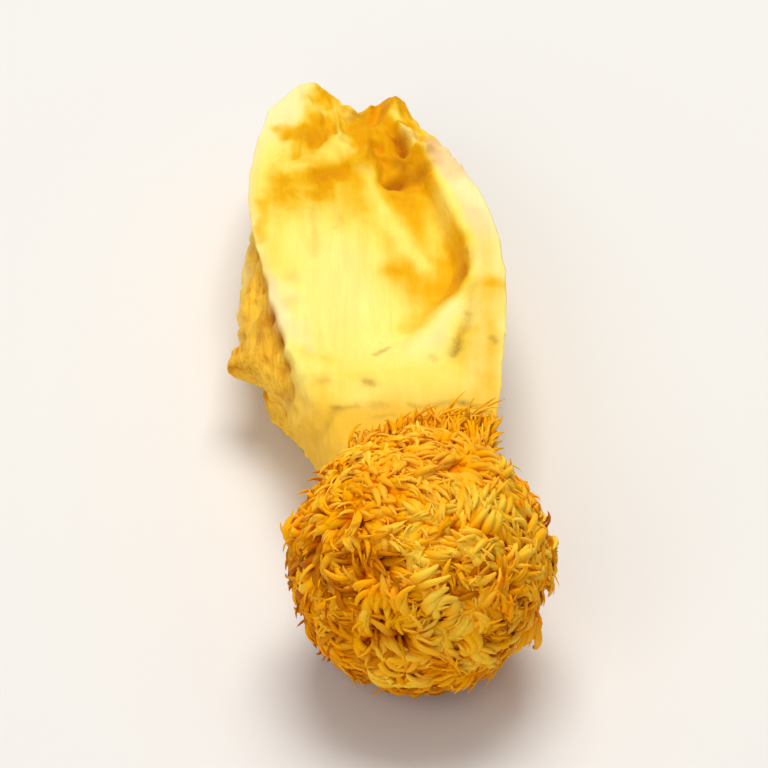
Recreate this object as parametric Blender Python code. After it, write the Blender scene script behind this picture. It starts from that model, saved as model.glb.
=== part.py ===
"""A dried lion's mane mushroom, one grown piece: a stalk sliced lengthways, cut face up, and its head.

The stalk lies along +Y, away from the head. Its cut face looks up, and its skin and the head rest on Z = 0.
Shapes are worked out from a point on that surface under the middle of the head. The finished piece is then
set with the middle of its footprint on the origin.
"""

import math

import bmesh
import bpy
from mathutils import Vector, noise

MM = 0.001
DRIFT_APART = (0.0, 37.3, 91.7)

# Head
CORE_RADIUS = 8.8 * MM
CORE_HEIGHT = 9.9 * MM
CORE_LUMPS = 0.4 * MM
CORE_LUMPS_PER_METRE = 220
CORE_JITTER = 0.35 * MM
CORE_JITTERS_ACROSS = 9
BULGE_TOWARDS = (0.38, -0.75, -0.30)
BULGE = 0.4 * MM
TOOTH_ROWS = 4
TOOTH_LENGTH = 1.25 * MM
TOOTH_LENGTH_SPREAD = 0.9 * MM
TOOTH_LENGTHS_PER_METRE = 900
TOOTH_LEAN = 1.1 * MM
TOOTH_SWIRLS_PER_METRE = 170
FOOT_RADIUS = 2.8 * MM
FOOT_DROP = 1.3 * MM
NECK_CLEARANCE = 0.5 * MM

# Stalk, at stations along +Y, in millimetres: the place, the left side, the left edge of the cut, the
# inner line of the right-hand rim, the right edge of the cut, the right side, the underside, the cut face
STATIONS = (
    (1.0, -5.0, -4.2, 1.8, 4.0, 4.6, 4.8, 13.2),
    (9.0, -6.6, -4.7, 2.4, 5.2, 5.5, 3.2, 12.4),
    (15.0, -8.5, -6.2, 2.8, 5.9, 5.8, 1.8, 11.5),
    (20.0, -10.5, -8.5, 3.1, 6.4, 6.1, 0.4, 10.9),
    (25.0, -13.2, -10.1, 3.5, 6.8, 6.4, -0.4, 10.5),
    (30.0, -14.1, -11.1, 3.9, 6.9, 6.4, -0.6, 10.3),
    (36.0, -14.1, -12.4, 3.8, 6.5, 6.0, -0.6, 10.2),
    (42.0, -13.4, -13.3, 2.4, 5.3, 4.9, -0.5, 10.0),
    (47.0, -12.8, -13.1, 0.8, 3.3, 3.2, -0.2, 9.8),
    (51.0, -12.3, -12.6, -0.5, 0.9, 1.0, 0.9, 9.5),
    (54.0, -11.6, -11.9, -2.2, -0.9, -0.7, 2.6, 9.1),
)
NEAR_CAP = 1.0 * MM
FAR_CAP = 1.3 * MM
NEAR_CAP_SHARE = 0.05
FAR_CAP_SHARE = 0.10
FAR_CAP_BLUNTNESS = 0.6
SEGMENTS_AROUND = 48
SEGMENTS_ALONG = 44
WALL_SHARE = 3 / 24
RIM_SHARE = 4 / 18
CUT_EDGE_BLEND = 0.6
SIDE_HEIGHT_SHARE = 0.55
BELLY_FULLNESS = 0.95

# Relief of the dried cut face: a dish beside the rim, ended by a slanting crease, and a crumpled far end.
# Pits and the crest are x, y, width and depth or height, and lobes are x, width and length, in millimetres
RIM_RISE = 0.7 * MM
RIM_RISE_MIDDLE = 34.0 * MM
RIM_RISE_LENGTH = 15.0 * MM
DISH_DEPTH = 2.4 * MM
DISH_WALL = 1.4 * MM
DISH_WIDTH = 15.0 * MM
DISH_NEAR_START = 19.0 * MM
DISH_NEAR_END = 28.0 * MM
DISH_FAR_START = 38.0 * MM
DISH_FAR_END = 53.0 * MM
CREASE_FROM = (3.9, 30.9)
CREASE_TO = (-0.2, 23.3)
CREASE_SLOPE = 3.0 * MM
PITS = ((-8.4, 50.9, 1.6, 0.9), (-7.4, 46.4, 1.9, 1.0), (-0.9, 48.0, 1.6, 1.5))
CREST = (-4.0, 51.5, 2.0, 1.1)
CRUMPLE = 0.7 * MM
CRUMPLES_PER_METRE = 330
CRUMPLE_START = 43.0 * MM
CRUMPLE_END = 51.0 * MM
LOBES = ((-8.9, 4.2, 4.1), (-2.3, 2.4, 1.5))
LOBE_START = 49.0 * MM
LOBE_END = 55.0 * MM
LOBE_TOP = 8.0 * MM

# Skin, and the flap on its left side: its place along the stalk, its height, its width and how far it is out
FURROW_DEPTH = 0.5 * MM
FURROWS_AROUND = 8
FURROW_WANDER = 2.0
FURROW_WANDERS_PER_METRE = 60
FURROW_LOWEST = 0.5 * MM
FURROW_DEEPEST = 2.5 * MM
FLAP = (25.2, 5.4, 3.0, 1.2)
FLAP_SIDE = (2.0 * MM, 8.0 * MM)

FLESH_COLOUR = (0.93, 0.74, 0.26, 1.0)
FLESH_ROUGHNESS = 0.75


def clear_scene():
    """Removes what the scene holds at the start."""
    for thing in list(bpy.data.objects):
        bpy.data.objects.remove(thing)


def smooth_step(value, low, high):
    """0 below low, 1 above high, and a smooth rise between them."""
    share = min(1.0, max(0.0, (value - low) / (high - low)))
    return share * share * (3 - 2 * share)


def hill(away, width):
    """A round hill of height 1 at its middle, which fades over width."""
    return math.exp(-((away / width) ** 2))


def drift(place):
    """A smooth random vector: three noises, read at places far apart."""
    return Vector([noise.noise(place + Vector((apart, 0, 0))) for apart in DRIFT_APART])


def along_curve(rows, at, column):
    """A column of the rows, whose first column is the place, read off the smooth curve through them."""
    last = len(rows) - 1
    index = max(i for i in range(last) if i == 0 or rows[i][0] <= at)
    span = rows[index + 1][0] - rows[index][0]
    t = min(1.0, max(0.0, (at - rows[index][0]) / span))
    start, end = rows[index][column], rows[index + 1][column]
    slopes = []
    for here in (index, index + 1):
        low, high = rows[max(here - 1, 0)], rows[min(here + 1, last)]
        slopes.append(span * (high[column] - low[column]) / (high[0] - low[0]))
    ease = t * t * (3 - 2 * t)
    return start + (end - start) * ease + slopes[0] * t * (1 - t) ** 2 - slopes[1] * t * t * (1 - t)


def station(y):
    """The stalk's section at a distance y along it, in metres."""
    at = min(max(y / MM, STATIONS[0][0]), STATIONS[-1][0])
    return [along_curve(STATIONS, at, column) * MM for column in range(1, len(STATIONS[0]))]


def past_crease(x, y):
    """How far a point of the cut face lies on the dish's side of the slanting crease."""
    start, end = Vector(CREASE_FROM) * MM, Vector(CREASE_TO) * MM
    run = (end - start).normalized()
    return (x - start.x) * run.y - (y - start.y) * run.x


def face_relief(x, y, rim):
    """How far the dried cut face stands above or sinks below the knife's plane."""
    from_rim = rim - x
    near_rim = 1 - smooth_step(from_rim, 0, DISH_WALL)
    rise = RIM_RISE * near_rim * hill(y - RIM_RISE_MIDDLE, RIM_RISE_LENGTH)
    dish = DISH_DEPTH * (1 - near_rim) * (1 - smooth_step(from_rim, 0, DISH_WIDTH))
    dish *= smooth_step(past_crease(x, y), 0, CREASE_SLOPE)
    dish *= smooth_step(y, DISH_NEAR_START, DISH_NEAR_END)
    dish *= 1 - smooth_step(y, DISH_FAR_START, DISH_FAR_END)
    relief = rise - dish
    for pit_x, pit_y, width, depth in PITS:
        relief -= depth * MM * hill(math.hypot(x - pit_x * MM, y - pit_y * MM), width * MM)
    crest_x, crest_y, width, height = CREST
    relief += height * MM * hill(math.hypot(x - crest_x * MM, y - crest_y * MM), width * MM)
    crumple = CRUMPLE * noise.noise(Vector((x, y, 0)) * CRUMPLES_PER_METRE)
    return relief + crumple * smooth_step(y, CRUMPLE_START, CRUMPLE_END)


def far_end_reach(x, y, z):
    """How far the far end's two lobes move a point along the stalk, most of all near the cut face."""
    reach = 0.0
    for lobe_x, width, length in LOBES:
        reach += length * MM * (1 - smooth_step(abs(x - lobe_x * MM), 0, width * MM))
    return reach * smooth_step(y, LOBE_START, LOBE_END) * smooth_step(z, 0, LOBE_TOP)


def stalk_place(share):
    """(distance along the stalk, size of the section) at a share of the way from its near to its far end."""
    start, end = STATIONS[0][0] * MM, STATIONS[-1][0] * MM
    if share < NEAR_CAP_SHARE:
        turn = (1 - share / NEAR_CAP_SHARE) * math.pi / 2
        return start - NEAR_CAP * math.sin(turn), math.cos(turn)
    if share > 1 - FAR_CAP_SHARE:
        turn = (share - 1 + FAR_CAP_SHARE) / FAR_CAP_SHARE * math.pi / 2
        return end + FAR_CAP * math.sin(turn), math.cos(turn) ** FAR_CAP_BLUNTNESS
    body = (share - NEAR_CAP_SHARE) / (1 - NEAR_CAP_SHARE - FAR_CAP_SHARE)
    return start + (end - start) * body, 1.0


def section_point(angle, section):
    """A point (x, z) of a section: the belly, the skin that slopes in above it, and the cut on top."""
    left, cut_left, rim, cut_right, right, under, face = section
    side = under + (face - under) * SIDE_HEIGHT_SHARE
    if math.sin(angle) < 0:
        across = math.copysign(abs(math.cos(angle)) ** BELLY_FULLNESS, math.cos(angle))
        middle, half = (left + right) / 2, (right - left) / 2
        return middle + half * across, side + (side - under) * math.sin(angle)
    turn = angle / math.pi
    wall = min(turn, 1 - turn) / WALL_SHARE
    if wall < 1:
        foot, top = (right, cut_right) if turn < 0.5 else (left, cut_left)
        return foot + (top - foot) * wall**2, side + (face - side) * wall
    across = (turn - WALL_SHARE) / (1 - 2 * WALL_SHARE)
    if across < RIM_SHARE:
        return cut_right + (rim - cut_right) * across / RIM_SHARE, face
    return rim + (cut_left - rim) * (across - RIM_SHARE) / (1 - RIM_SHARE), face


def stalk_point(angle, share):
    """A point of the stalk's surface, from the angle round its section and the share of the way along."""
    y, size = stalk_place(share)
    section = station(y)
    left, cut_left, rim, cut_right, right, under, face = section
    x, z = section_point(angle, section)
    edge_sine = math.sin(math.pi * WALL_SHARE)
    on_cut = smooth_step(math.sin(angle), edge_sine * CUT_EDGE_BLEND, edge_sine)
    z += on_cut * face_relief(x, y, rim)
    middle = Vector(((left + right) / 2, (under + face) / 2))
    wander = FURROW_WANDER * noise.noise(Vector((0, y * FURROW_WANDERS_PER_METRE, 0)))
    furrow = FURROW_DEPTH * (math.cos(FURROWS_AROUND * angle + wander) - 1)
    furrow *= (1 - on_cut) * smooth_step(z, FURROW_LOWEST, FURROW_DEEPEST)
    inward = (Vector((x, z)) - middle).normalized() * furrow
    flap_y, flap_z, width, height = (value * MM for value in FLAP)
    out = height * hill(math.hypot(y - flap_y, z - flap_z), width) * smooth_step(middle.x - x, *FLAP_SIDE)
    x = middle.x + (x + inward.x - middle.x) * size - out
    z = middle.y + (z + inward.y - middle.y) * size
    return Vector((x, y + far_end_reach(x, y, z), z))


def cut_flat_underneath(mesh):
    """Cuts away what is below Z = 0, and closes the flat place that the piece rests on."""
    everything = mesh.verts[:] + mesh.edges[:] + mesh.faces[:]
    bmesh.ops.bisect_plane(mesh, geom=everything, plane_co=(0, 0, 0), plane_no=(0, 0, 1), clear_inner=True)
    rims = [edge for edge in mesh.edges if edge.is_boundary]
    bmesh.ops.holes_fill(mesh, edges=rims)
    bmesh.ops.triangulate(mesh, faces=mesh.faces[:])
    bmesh.ops.recalc_face_normals(mesh, faces=mesh.faces[:])


def finished_object(name, mesh, material):
    """The shape as an object of the scene, in its material."""
    data = bpy.data.meshes.new(name)
    mesh.to_mesh(data)
    mesh.free()
    thing = bpy.data.objects.new(name, data)
    data.materials.append(material)
    bpy.context.scene.collection.objects.link(thing)
    return thing


def stalk_mesh():
    """The sliced stalk, from a sphere whose rings are laid on the stations."""
    mesh = bmesh.new()
    bmesh.ops.create_uvsphere(mesh, u_segments=SEGMENTS_AROUND, v_segments=SEGMENTS_ALONG, radius=1)
    for vert in mesh.verts:
        share = math.acos(min(1.0, max(-1.0, vert.co.z))) / math.pi
        angle = math.atan2(vert.co.y, vert.co.x) % math.tau
        vert.co = stalk_point(angle, share)
    bmesh.ops.recalc_face_normals(mesh, faces=mesh.faces[:])
    cut_flat_underneath(mesh)
    return mesh


def in_neck(place):
    """Whether a place on the head is covered by the stalk."""
    if place.y < STATIONS[0][0] * MM:
        return False
    left, _, _, _, right, under, face = station(place.y)
    room = NECK_CLEARANCE
    return left - room < place.x < right + room and under - room < place.z < face + room


def core_point(direction):
    """A point of the head under its teeth, measured from the head's centre."""
    lumps = CORE_LUMPS * noise.noise(direction * CORE_RADIUS * CORE_LUMPS_PER_METRE)
    bulge = BULGE * max(0.0, direction.dot(Vector(BULGE_TOWARDS).normalized())) ** 2
    jitter = drift(direction * CORE_JITTERS_ACROSS) * CORE_JITTER
    return direction * (CORE_RADIUS + lumps + bulge) + jitter


def tooth_tip(place, outward):
    """The tip of the tooth that stands on a place of the head, leaning as its neighbours do."""
    swirl = drift(place * TOOTH_SWIRLS_PER_METRE)
    lean = swirl - outward * swirl.dot(outward)
    length = TOOTH_LENGTH + TOOTH_LENGTH_SPREAD * noise.noise(place * TOOTH_LENGTHS_PER_METRE)
    return place + outward * length + lean * TOOTH_LEAN


def head_mesh():
    """The round head: a lumpy ball with teeth drawn out of it, but for its foot and its neck."""
    mesh = bmesh.new()
    bmesh.ops.create_icosphere(mesh, subdivisions=TOOTH_ROWS, radius=1)
    toothed = len(mesh.verts)
    bmesh.ops.subdivide_edges(mesh, edges=mesh.edges[:], cuts=1, use_grid_fill=True)
    mesh.verts.ensure_lookup_table()
    centre = Vector((0, 0, CORE_HEIGHT))
    for index, vert in enumerate(mesh.verts):
        outward = vert.co.normalized()
        vert.co = centre + core_point(outward)
        on_foot = math.hypot(vert.co.x, vert.co.y) < FOOT_RADIUS and vert.co.z < CORE_HEIGHT
        if on_foot:
            vert.co.z -= FOOT_DROP
        elif index < toothed and not in_neck(vert.co):
            vert.co = tooth_tip(vert.co, outward)
    cut_flat_underneath(mesh)
    return mesh


def set_on_origin(*things):
    """Moves the shapes so that the middle of their footprint is the origin."""
    corners = [vert.co for thing in things for vert in thing.data.vertices]
    middle_x = (min(c.x for c in corners) + max(c.x for c in corners)) / 2
    middle_y = (min(c.y for c in corners) + max(c.y for c in corners)) / 2
    for thing in things:
        thing.location = (-middle_x, -middle_y, 0)


def flesh_material():
    """Dried flesh, from cream to gold."""
    material = bpy.data.materials.new("dried_flesh")
    material.use_nodes = True
    shader = material.node_tree.nodes["Principled BSDF"]
    shader.inputs["Base Color"].default_value = FLESH_COLOUR
    shader.inputs["Roughness"].default_value = FLESH_ROUGHNESS
    shader.inputs["Metallic"].default_value = 0.0
    return material


def main():
    """Builds the mushroom as one solid: the stalk, with the head grown on its end."""
    clear_scene()
    material = flesh_material()
    mushroom = finished_object("mushroom", stalk_mesh(), material)
    head = finished_object("head", head_mesh(), material)
    head.hide_render = True
    head.display_type = "WIRE"
    set_on_origin(mushroom, head)
    grown = mushroom.modifiers.new("grown_together", "BOOLEAN")
    grown.operation = "UNION"
    grown.object = head


main()
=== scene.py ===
"""The looks of a dried lion's mane mushroom: its sliced stalk, its toothed head, and the studio round it.

Lengths in the classes are millimetres. They are measured from the point of the surface that lies under the
middle of the head, with +Y along the stalk. When a mesh is kept, they become metres in the frame of the
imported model.
"""

from __future__ import annotations

import logging
import math
import random
from collections.abc import Callable, Sequence
from dataclasses import astuple, dataclass, field, replace
from enum import Enum

import bmesh
import bpy
from mathutils import Matrix, Vector, noise


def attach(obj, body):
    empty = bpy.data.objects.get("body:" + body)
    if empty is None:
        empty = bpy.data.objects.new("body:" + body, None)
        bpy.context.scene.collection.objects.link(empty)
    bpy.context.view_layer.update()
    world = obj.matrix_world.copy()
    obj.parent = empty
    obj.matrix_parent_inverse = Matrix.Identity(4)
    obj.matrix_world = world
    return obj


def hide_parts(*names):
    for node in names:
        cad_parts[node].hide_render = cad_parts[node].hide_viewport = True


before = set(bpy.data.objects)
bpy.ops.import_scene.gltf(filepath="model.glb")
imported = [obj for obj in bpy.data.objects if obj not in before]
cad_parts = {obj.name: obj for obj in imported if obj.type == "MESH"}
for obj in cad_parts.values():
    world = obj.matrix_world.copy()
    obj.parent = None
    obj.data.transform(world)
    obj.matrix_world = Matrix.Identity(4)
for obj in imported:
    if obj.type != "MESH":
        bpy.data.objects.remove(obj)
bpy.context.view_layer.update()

MM = 0.001
NODE = "mushroom"
BODY = "root"
# The point under the middle of the head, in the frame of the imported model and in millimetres.
HEAD_AT = Vector((1.99, -24.38, 0.0))
# How far apart the three noises of a random vector are read.
DRIFT_APART = (0.0, 37.3, 91.7)
GOLDEN_ANGLE = math.pi * (3 - math.sqrt(5))

log = logging.getLogger("mushroom")


def held(value: float) -> float:
    """A number held from 0 to 1."""
    return min(1.0, max(0.0, value))


def smooth_step(value: float, low: float, high: float) -> float:
    """Rises smoothly from 0 to 1.

    Args:
        value: Where the step is read.
        low: The value below which it is 0.
        high: The value above which it is 1.

    Returns:
        A share from 0 to 1.
    """
    share = held((value - low) / (high - low))
    return share * share * (3 - 2 * share)


def hill(away: float, width: float) -> float:
    """A round hill of height 1 that fades over width."""
    return math.exp(-((away / width) ** 2))


def drift(place: Vector) -> Vector:
    """A smooth random vector: three noises, read at places far apart."""
    return Vector([noise.noise(place + Vector((apart, 0, 0))) for apart in DRIFT_APART])


def ridges(place: Vector) -> float:
    """Sharp-crested noise from 0 in its valleys to 1 on its crests."""
    return 1 - min(1.0, 2 * abs(noise.noise(place)))


def off_line(x: float, y: float, start: tuple[float, float], end: tuple[float, float]) -> float:
    """The distance from a point to the stretch between two others.

    Args:
        x: The point's place across.
        y: The point's place along.
        start: One end of the stretch.
        end: Its other end.

    Returns:
        The distance, in the unit of the points.
    """
    run_x, run_y = end[0] - start[0], end[1] - start[1]
    share = held(((x - start[0]) * run_x + (y - start[1]) * run_y) / (run_x**2 + run_y**2 + 1e-9))
    return math.hypot(x - start[0] - run_x * share, y - start[1] - run_y * share)


def srgb(red: int, green: int, blue: int) -> tuple[float, float, float, float]:
    """Turns a colour as a screen shows it into the renderer's linear values.

    Args:
        red: Its red, from 0 to 255.
        green: Its green.
        blue: Its blue.

    Returns:
        The linear red, green and blue, and an alpha of 1.
    """
    shares = [part / 255 for part in (red, green, blue)]
    linear = [share / 12.92 if share <= 0.04045 else ((share + 0.055) / 1.055) ** 2.4 for share in shares]
    return (*linear, 1.0)


class Mark(Enum):
    """What a piece's points carry for its finish, each from 0 to 1."""

    CUT = "on_cut"
    OCHRE = "ochre"
    CREAM = "cream"
    # Painted shade, in dark brown: in the cut's folds and pits, in the skin's dents and under the cut's
    # edge.
    BROWN = "brown"
    NECK = "neck"
    # Painted shade where the skin's fibres and grain sink.
    HOLLOW_SHADE = "hollow"
    SPOT = "spot"
    # How bright the teeth are: painted light and shade, with some random tone.
    BRIGHT = "bright"
    ALONG = "along"
    TINT = "tint"


# What the head's pieces carry. The stalk carries the other marks.
TOOTH_MARKS = (Mark.ALONG, Mark.TINT, Mark.BRIGHT)


class Maths(Enum):
    """The Math node's operations that the finishes use."""

    ADD = "ADD"
    SUBTRACT = "SUBTRACT"
    MULTIPLY = "MULTIPLY"
    POWER = "POWER"
    MINIMUM = "MINIMUM"
    MAXIMUM = "MAXIMUM"


@dataclass
class Value:
    """A number that a node gives, with the operators that add Math nodes to it."""

    shade: Shade
    socket: bpy.types.NodeSocket

    def _maths(self, kind: Maths, first: Value | float, second: Value | float) -> Value:
        """Adds one Math node, and returns what it gives."""
        socket = self.shade.node("ShaderNodeMath", {"operation": kind.value}, {0: first, 1: second})
        return Value(self.shade, socket)

    def __add__(self, other: Value | float) -> Value:
        """Self plus other."""
        return self._maths(Maths.ADD, self, other)

    __radd__ = __add__

    def __sub__(self, other: Value | float) -> Value:
        """Self minus other."""
        return self._maths(Maths.SUBTRACT, self, other)

    def __rsub__(self, other: float) -> Value:
        """Other minus self."""
        return self._maths(Maths.SUBTRACT, other, self)

    def __mul__(self, other: Value | float) -> Value:
        """Self times other."""
        return self._maths(Maths.MULTIPLY, self, other)

    __rmul__ = __mul__

    def __pow__(self, other: float) -> Value:
        """Self to the power of other."""
        return self._maths(Maths.POWER, self, other)

    def clamped(self) -> Value:
        """Self, held from 0 to 1."""
        return self._maths(Maths.MAXIMUM, self._maths(Maths.MINIMUM, self, 1.0), 0.0)

    def stepped(self, low: float, high: float) -> Value:
        """Steps smoothly from 0 to 1.

        Args:
            low: The value up to which it is 0.
            high: The value from which it is 1.

        Returns:
            The step.
        """
        settings = {"interpolation_type": "SMOOTHSTEP", "clamp": True}
        socket = self.shade.node("ShaderNodeMapRange", settings, {0: self, 1: low, 2: high})
        return Value(self.shade, socket)


class Shade:
    """A material's nodes, added one by one round its Principled BSDF."""

    def __init__(self, name: str) -> None:
        """Starts a material.

        Args:
            name: Its name.
        """
        self.material = bpy.data.materials.new(name)
        self.material.use_nodes = True
        self.tree = self.material.node_tree
        self.shader = self.tree.nodes["Principled BSDF"]

    def node(
        self,
        kind: str,
        settings: dict[str, object] | None = None,
        inputs: dict[int | str, object] | None = None,
        out: int | str = 0,
    ) -> bpy.types.NodeSocket:
        """Adds a node.

        Args:
            kind: The node's type.
            settings: Its properties, which are set first.
            inputs: What its sockets take: a Value, another socket or a plain value.
            out: The output that is wanted.

        Returns:
            That output's socket.
        """
        node = self.tree.nodes.new(kind)
        for name, value in (settings or {}).items():
            setattr(node, name, value)
        for key, value in (inputs or {}).items():
            self.feed(node.inputs[key], value)
        return node.outputs[out]

    def feed(self, socket: bpy.types.NodeSocket, value: object) -> None:
        """Gives an input socket a link or a plain value.

        Args:
            socket: The input socket.
            value: A Value, another socket or a plain value.
        """
        if isinstance(value, Value):
            value = value.socket
        if isinstance(value, bpy.types.NodeSocket):
            self.tree.links.new(value, socket)
        else:
            socket.default_value = value

    def mark(self, mark: Mark) -> Value:
        """What the piece's points carry under that name."""
        return Value(self, self.node("ShaderNodeAttribute", {"attribute_name": mark.value}, out="Fac"))

    def noise(
        self, scale: tuple[float, float, float], detail: float = 2.0, roughness: float = 0.55
    ) -> Value:
        """Noise over the piece.

        Args:
            scale: How many of its waves there are in a millimetre, along each axis.
            detail: How many finer layers it has.
            roughness: How strong those are.

        Returns:
            A value round 0.5.
        """
        place = self.node("ShaderNodeTexCoord", out="Object")
        scaled = self.node("ShaderNodeMapping", {}, {"Vector": place, "Scale": [s / MM for s in scale]})
        inputs = {"Vector": scaled, "Scale": 1.0, "Detail": detail, "Roughness": roughness}
        return Value(self, self.node("ShaderNodeTexNoise", {}, inputs, "Fac"))

    def mixed(self, share: Value, first: object, second: object) -> bpy.types.NodeSocket:
        """A colour between two, by a share of the second."""
        settings = {"data_type": "RGBA", "clamp_factor": True}
        return self.node("ShaderNodeMix", settings, {0: share, 6: first, 7: second}, 2)

    def bumped(self, height: Value, distance: float) -> bpy.types.NodeSocket:
        """A normal bent by a height, whose full range stands for a distance in millimetres."""
        inputs = {"Height": height, "Distance": distance * MM, "Strength": 1.0}
        return self.node("ShaderNodeBump", {}, inputs)

    def finish(
        self, colour: object, roughness: object, normal: bpy.types.NodeSocket, fixed: dict[str, object]
    ) -> bpy.types.Material:
        """Sets the shader.

        Args:
            colour: Its base colour.
            roughness: Its roughness.
            normal: Its bumped normal.
            fixed: Its other sockets, the same all over.

        Returns:
            The material.
        """
        self.feed(self.shader.inputs["Base Color"], colour)
        self.feed(self.shader.inputs["Roughness"], roughness)
        self.feed(self.shader.inputs["Normal"], normal)
        for name, value in fixed.items():
            self.shader.inputs[name].default_value = value
        return self.material


@dataclass(frozen=True)
class StalkFinish:
    """Dried flesh, from lemon to ochre on the cut, under a golden furrowed skin."""

    lemon: tuple[float, ...] = srgb(255, 238, 130)
    straw: tuple[float, ...] = srgb(252, 218, 96)
    gold: tuple[float, ...] = srgb(246, 206, 32)
    ochre: tuple[float, ...] = srgb(226, 156, 0)
    cream: tuple[float, ...] = srgb(254, 232, 162)
    blush: tuple[float, ...] = srgb(250, 210, 146)
    # The dark brown of the painted shade in the folds, pits and dents.
    brown: tuple[float, ...] = srgb(170, 88, 4)
    neck: tuple[float, ...] = srgb(252, 198, 76)
    neck_deep: tuple[float, ...] = srgb(240, 182, 50)
    spot: tuple[float, ...] = srgb(186, 144, 46)
    skin: tuple[float, ...] = srgb(252, 200, 60)
    # The skin's darker colour, in its streaks and, as painted shade, where it sinks.
    skin_deep: tuple[float, ...] = srgb(196, 112, 2)
    glint: tuple[float, ...] = (1.0, 0.82, 0.4, 1.0)
    fibre_waves: tuple[float, float, float] = (1.3, 0.12, 1.3)
    thread_waves: tuple[float, float, float] = (4.5, 0.35, 4.5)
    cloud_waves: tuple[float, float, float] = (0.16, 0.10, 0.16)
    blot_waves: tuple[float, float, float] = (0.55, 0.42, 0.55)
    grain_waves: tuple[float, float, float] = (3.0, 1.6, 3.0)
    relief: float = 0.13
    roughness: float = 0.62
    specular: float = 0.07
    subsurface: float = 0.15
    subsurface_radius: tuple[float, float, float] = (1.0, 0.55, 0.2)
    subsurface_reach: float = 0.5
    sheen: float = 0.05
    sheen_roughness: float = 0.5

    def cut_colour(self, shade: Shade, fibres: Value, clouds: Value) -> bpy.types.NodeSocket:
        """Mixes the colour of the cut.

        Args:
            shade: The material's nodes.
            fibres: The noise of its fibres.
            clouds: The noise of its broad patches.

        Returns:
            The colour, from lemon over straw and cream to gold and ochre.
        """
        straws = clouds * 1.6 - 0.45 + (fibres - 0.5) * 0.9
        colour = shade.mixed(straws.clamped(), self.lemon, self.straw)
        blotched = shade.mixed(clouds.stepped(0.40, 0.58), self.cream, self.blush)
        colour = shade.mixed(shade.mark(Mark.CREAM), colour, blotched)
        blots = shade.noise(self.blot_waves, 3.0)
        # Ochre: the flesh's own amber, and painted shade in the dish and the pits.
        ochre = shade.mark(Mark.OCHRE) * (0.4 + fibres * 0.65 + blots * 1.15)
        colour = shade.mixed(ochre.clamped(), colour, self.gold)
        return shade.mixed((ochre - 0.3).clamped(), colour, self.ochre)

    def material(self) -> bpy.types.Material:
        """Mixes the cut, the skin, the neck, the spots and the painted shade by what the stalk's points
        carry.

        Returns:
            The finish as a material.
        """
        shade = Shade("dried_flesh")
        fibres = shade.noise(self.fibre_waves, 3.0)
        threads = shade.noise(self.thread_waves, 3.0)
        clouds = shade.noise(self.cloud_waves)
        grain = shade.noise(self.grain_waves)
        # The skin darkens along its streaks, and where it sinks with painted shade.
        streaks_and_hollow_shade = (fibres - 0.42) * 1.5 + (threads - 0.5) * 1.4 + shade.mark(Mark.HOLLOW_SHADE)
        skin = shade.mixed(streaks_and_hollow_shade.clamped(), self.skin, self.skin_deep)
        colour = shade.mixed(shade.mark(Mark.CUT), skin, self.cut_colour(shade, fibres, clouds))
        deep = (fibres - 0.4) * 1.5 + (clouds - 0.4) * 1.5 + shade.mark(Mark.NECK).stepped(0.2, 0.95) * 0.8
        neck = shade.mixed(deep.clamped(), self.neck, self.neck_deep)
        colour = shade.mixed(shade.mark(Mark.NECK), colour, neck)
        spots = shade.mark(Mark.SPOT) * shade.mark(Mark.CUT) * (0.5 + grain)
        colour = shade.mixed(spots.clamped(), colour, self.spot)
        # Painted shade in the folds, pits and dents.
        shade_share = shade.mark(Mark.BROWN) * (0.7 + grain * 0.6)
        colour = shade.mixed(shade_share.clamped(), colour, self.brown)
        rough = (self.roughness + (grain - 0.5) * 0.3).clamped()
        normal = shade.bumped(fibres * 0.45 + threads * 0.35 + grain * 0.2, self.relief)
        fixed = {
            "Subsurface Weight": self.subsurface,
            "Subsurface Radius": self.subsurface_radius,
            "Subsurface Scale": self.subsurface_reach * MM,
            "Sheen Weight": self.sheen,
            "Sheen Roughness": self.sheen_roughness,
            "Sheen Tint": self.glint,
            "Specular IOR Level": self.specular,
            "Specular Tint": self.glint,
        }
        return shade.finish(colour, rough, normal, fixed)


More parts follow.
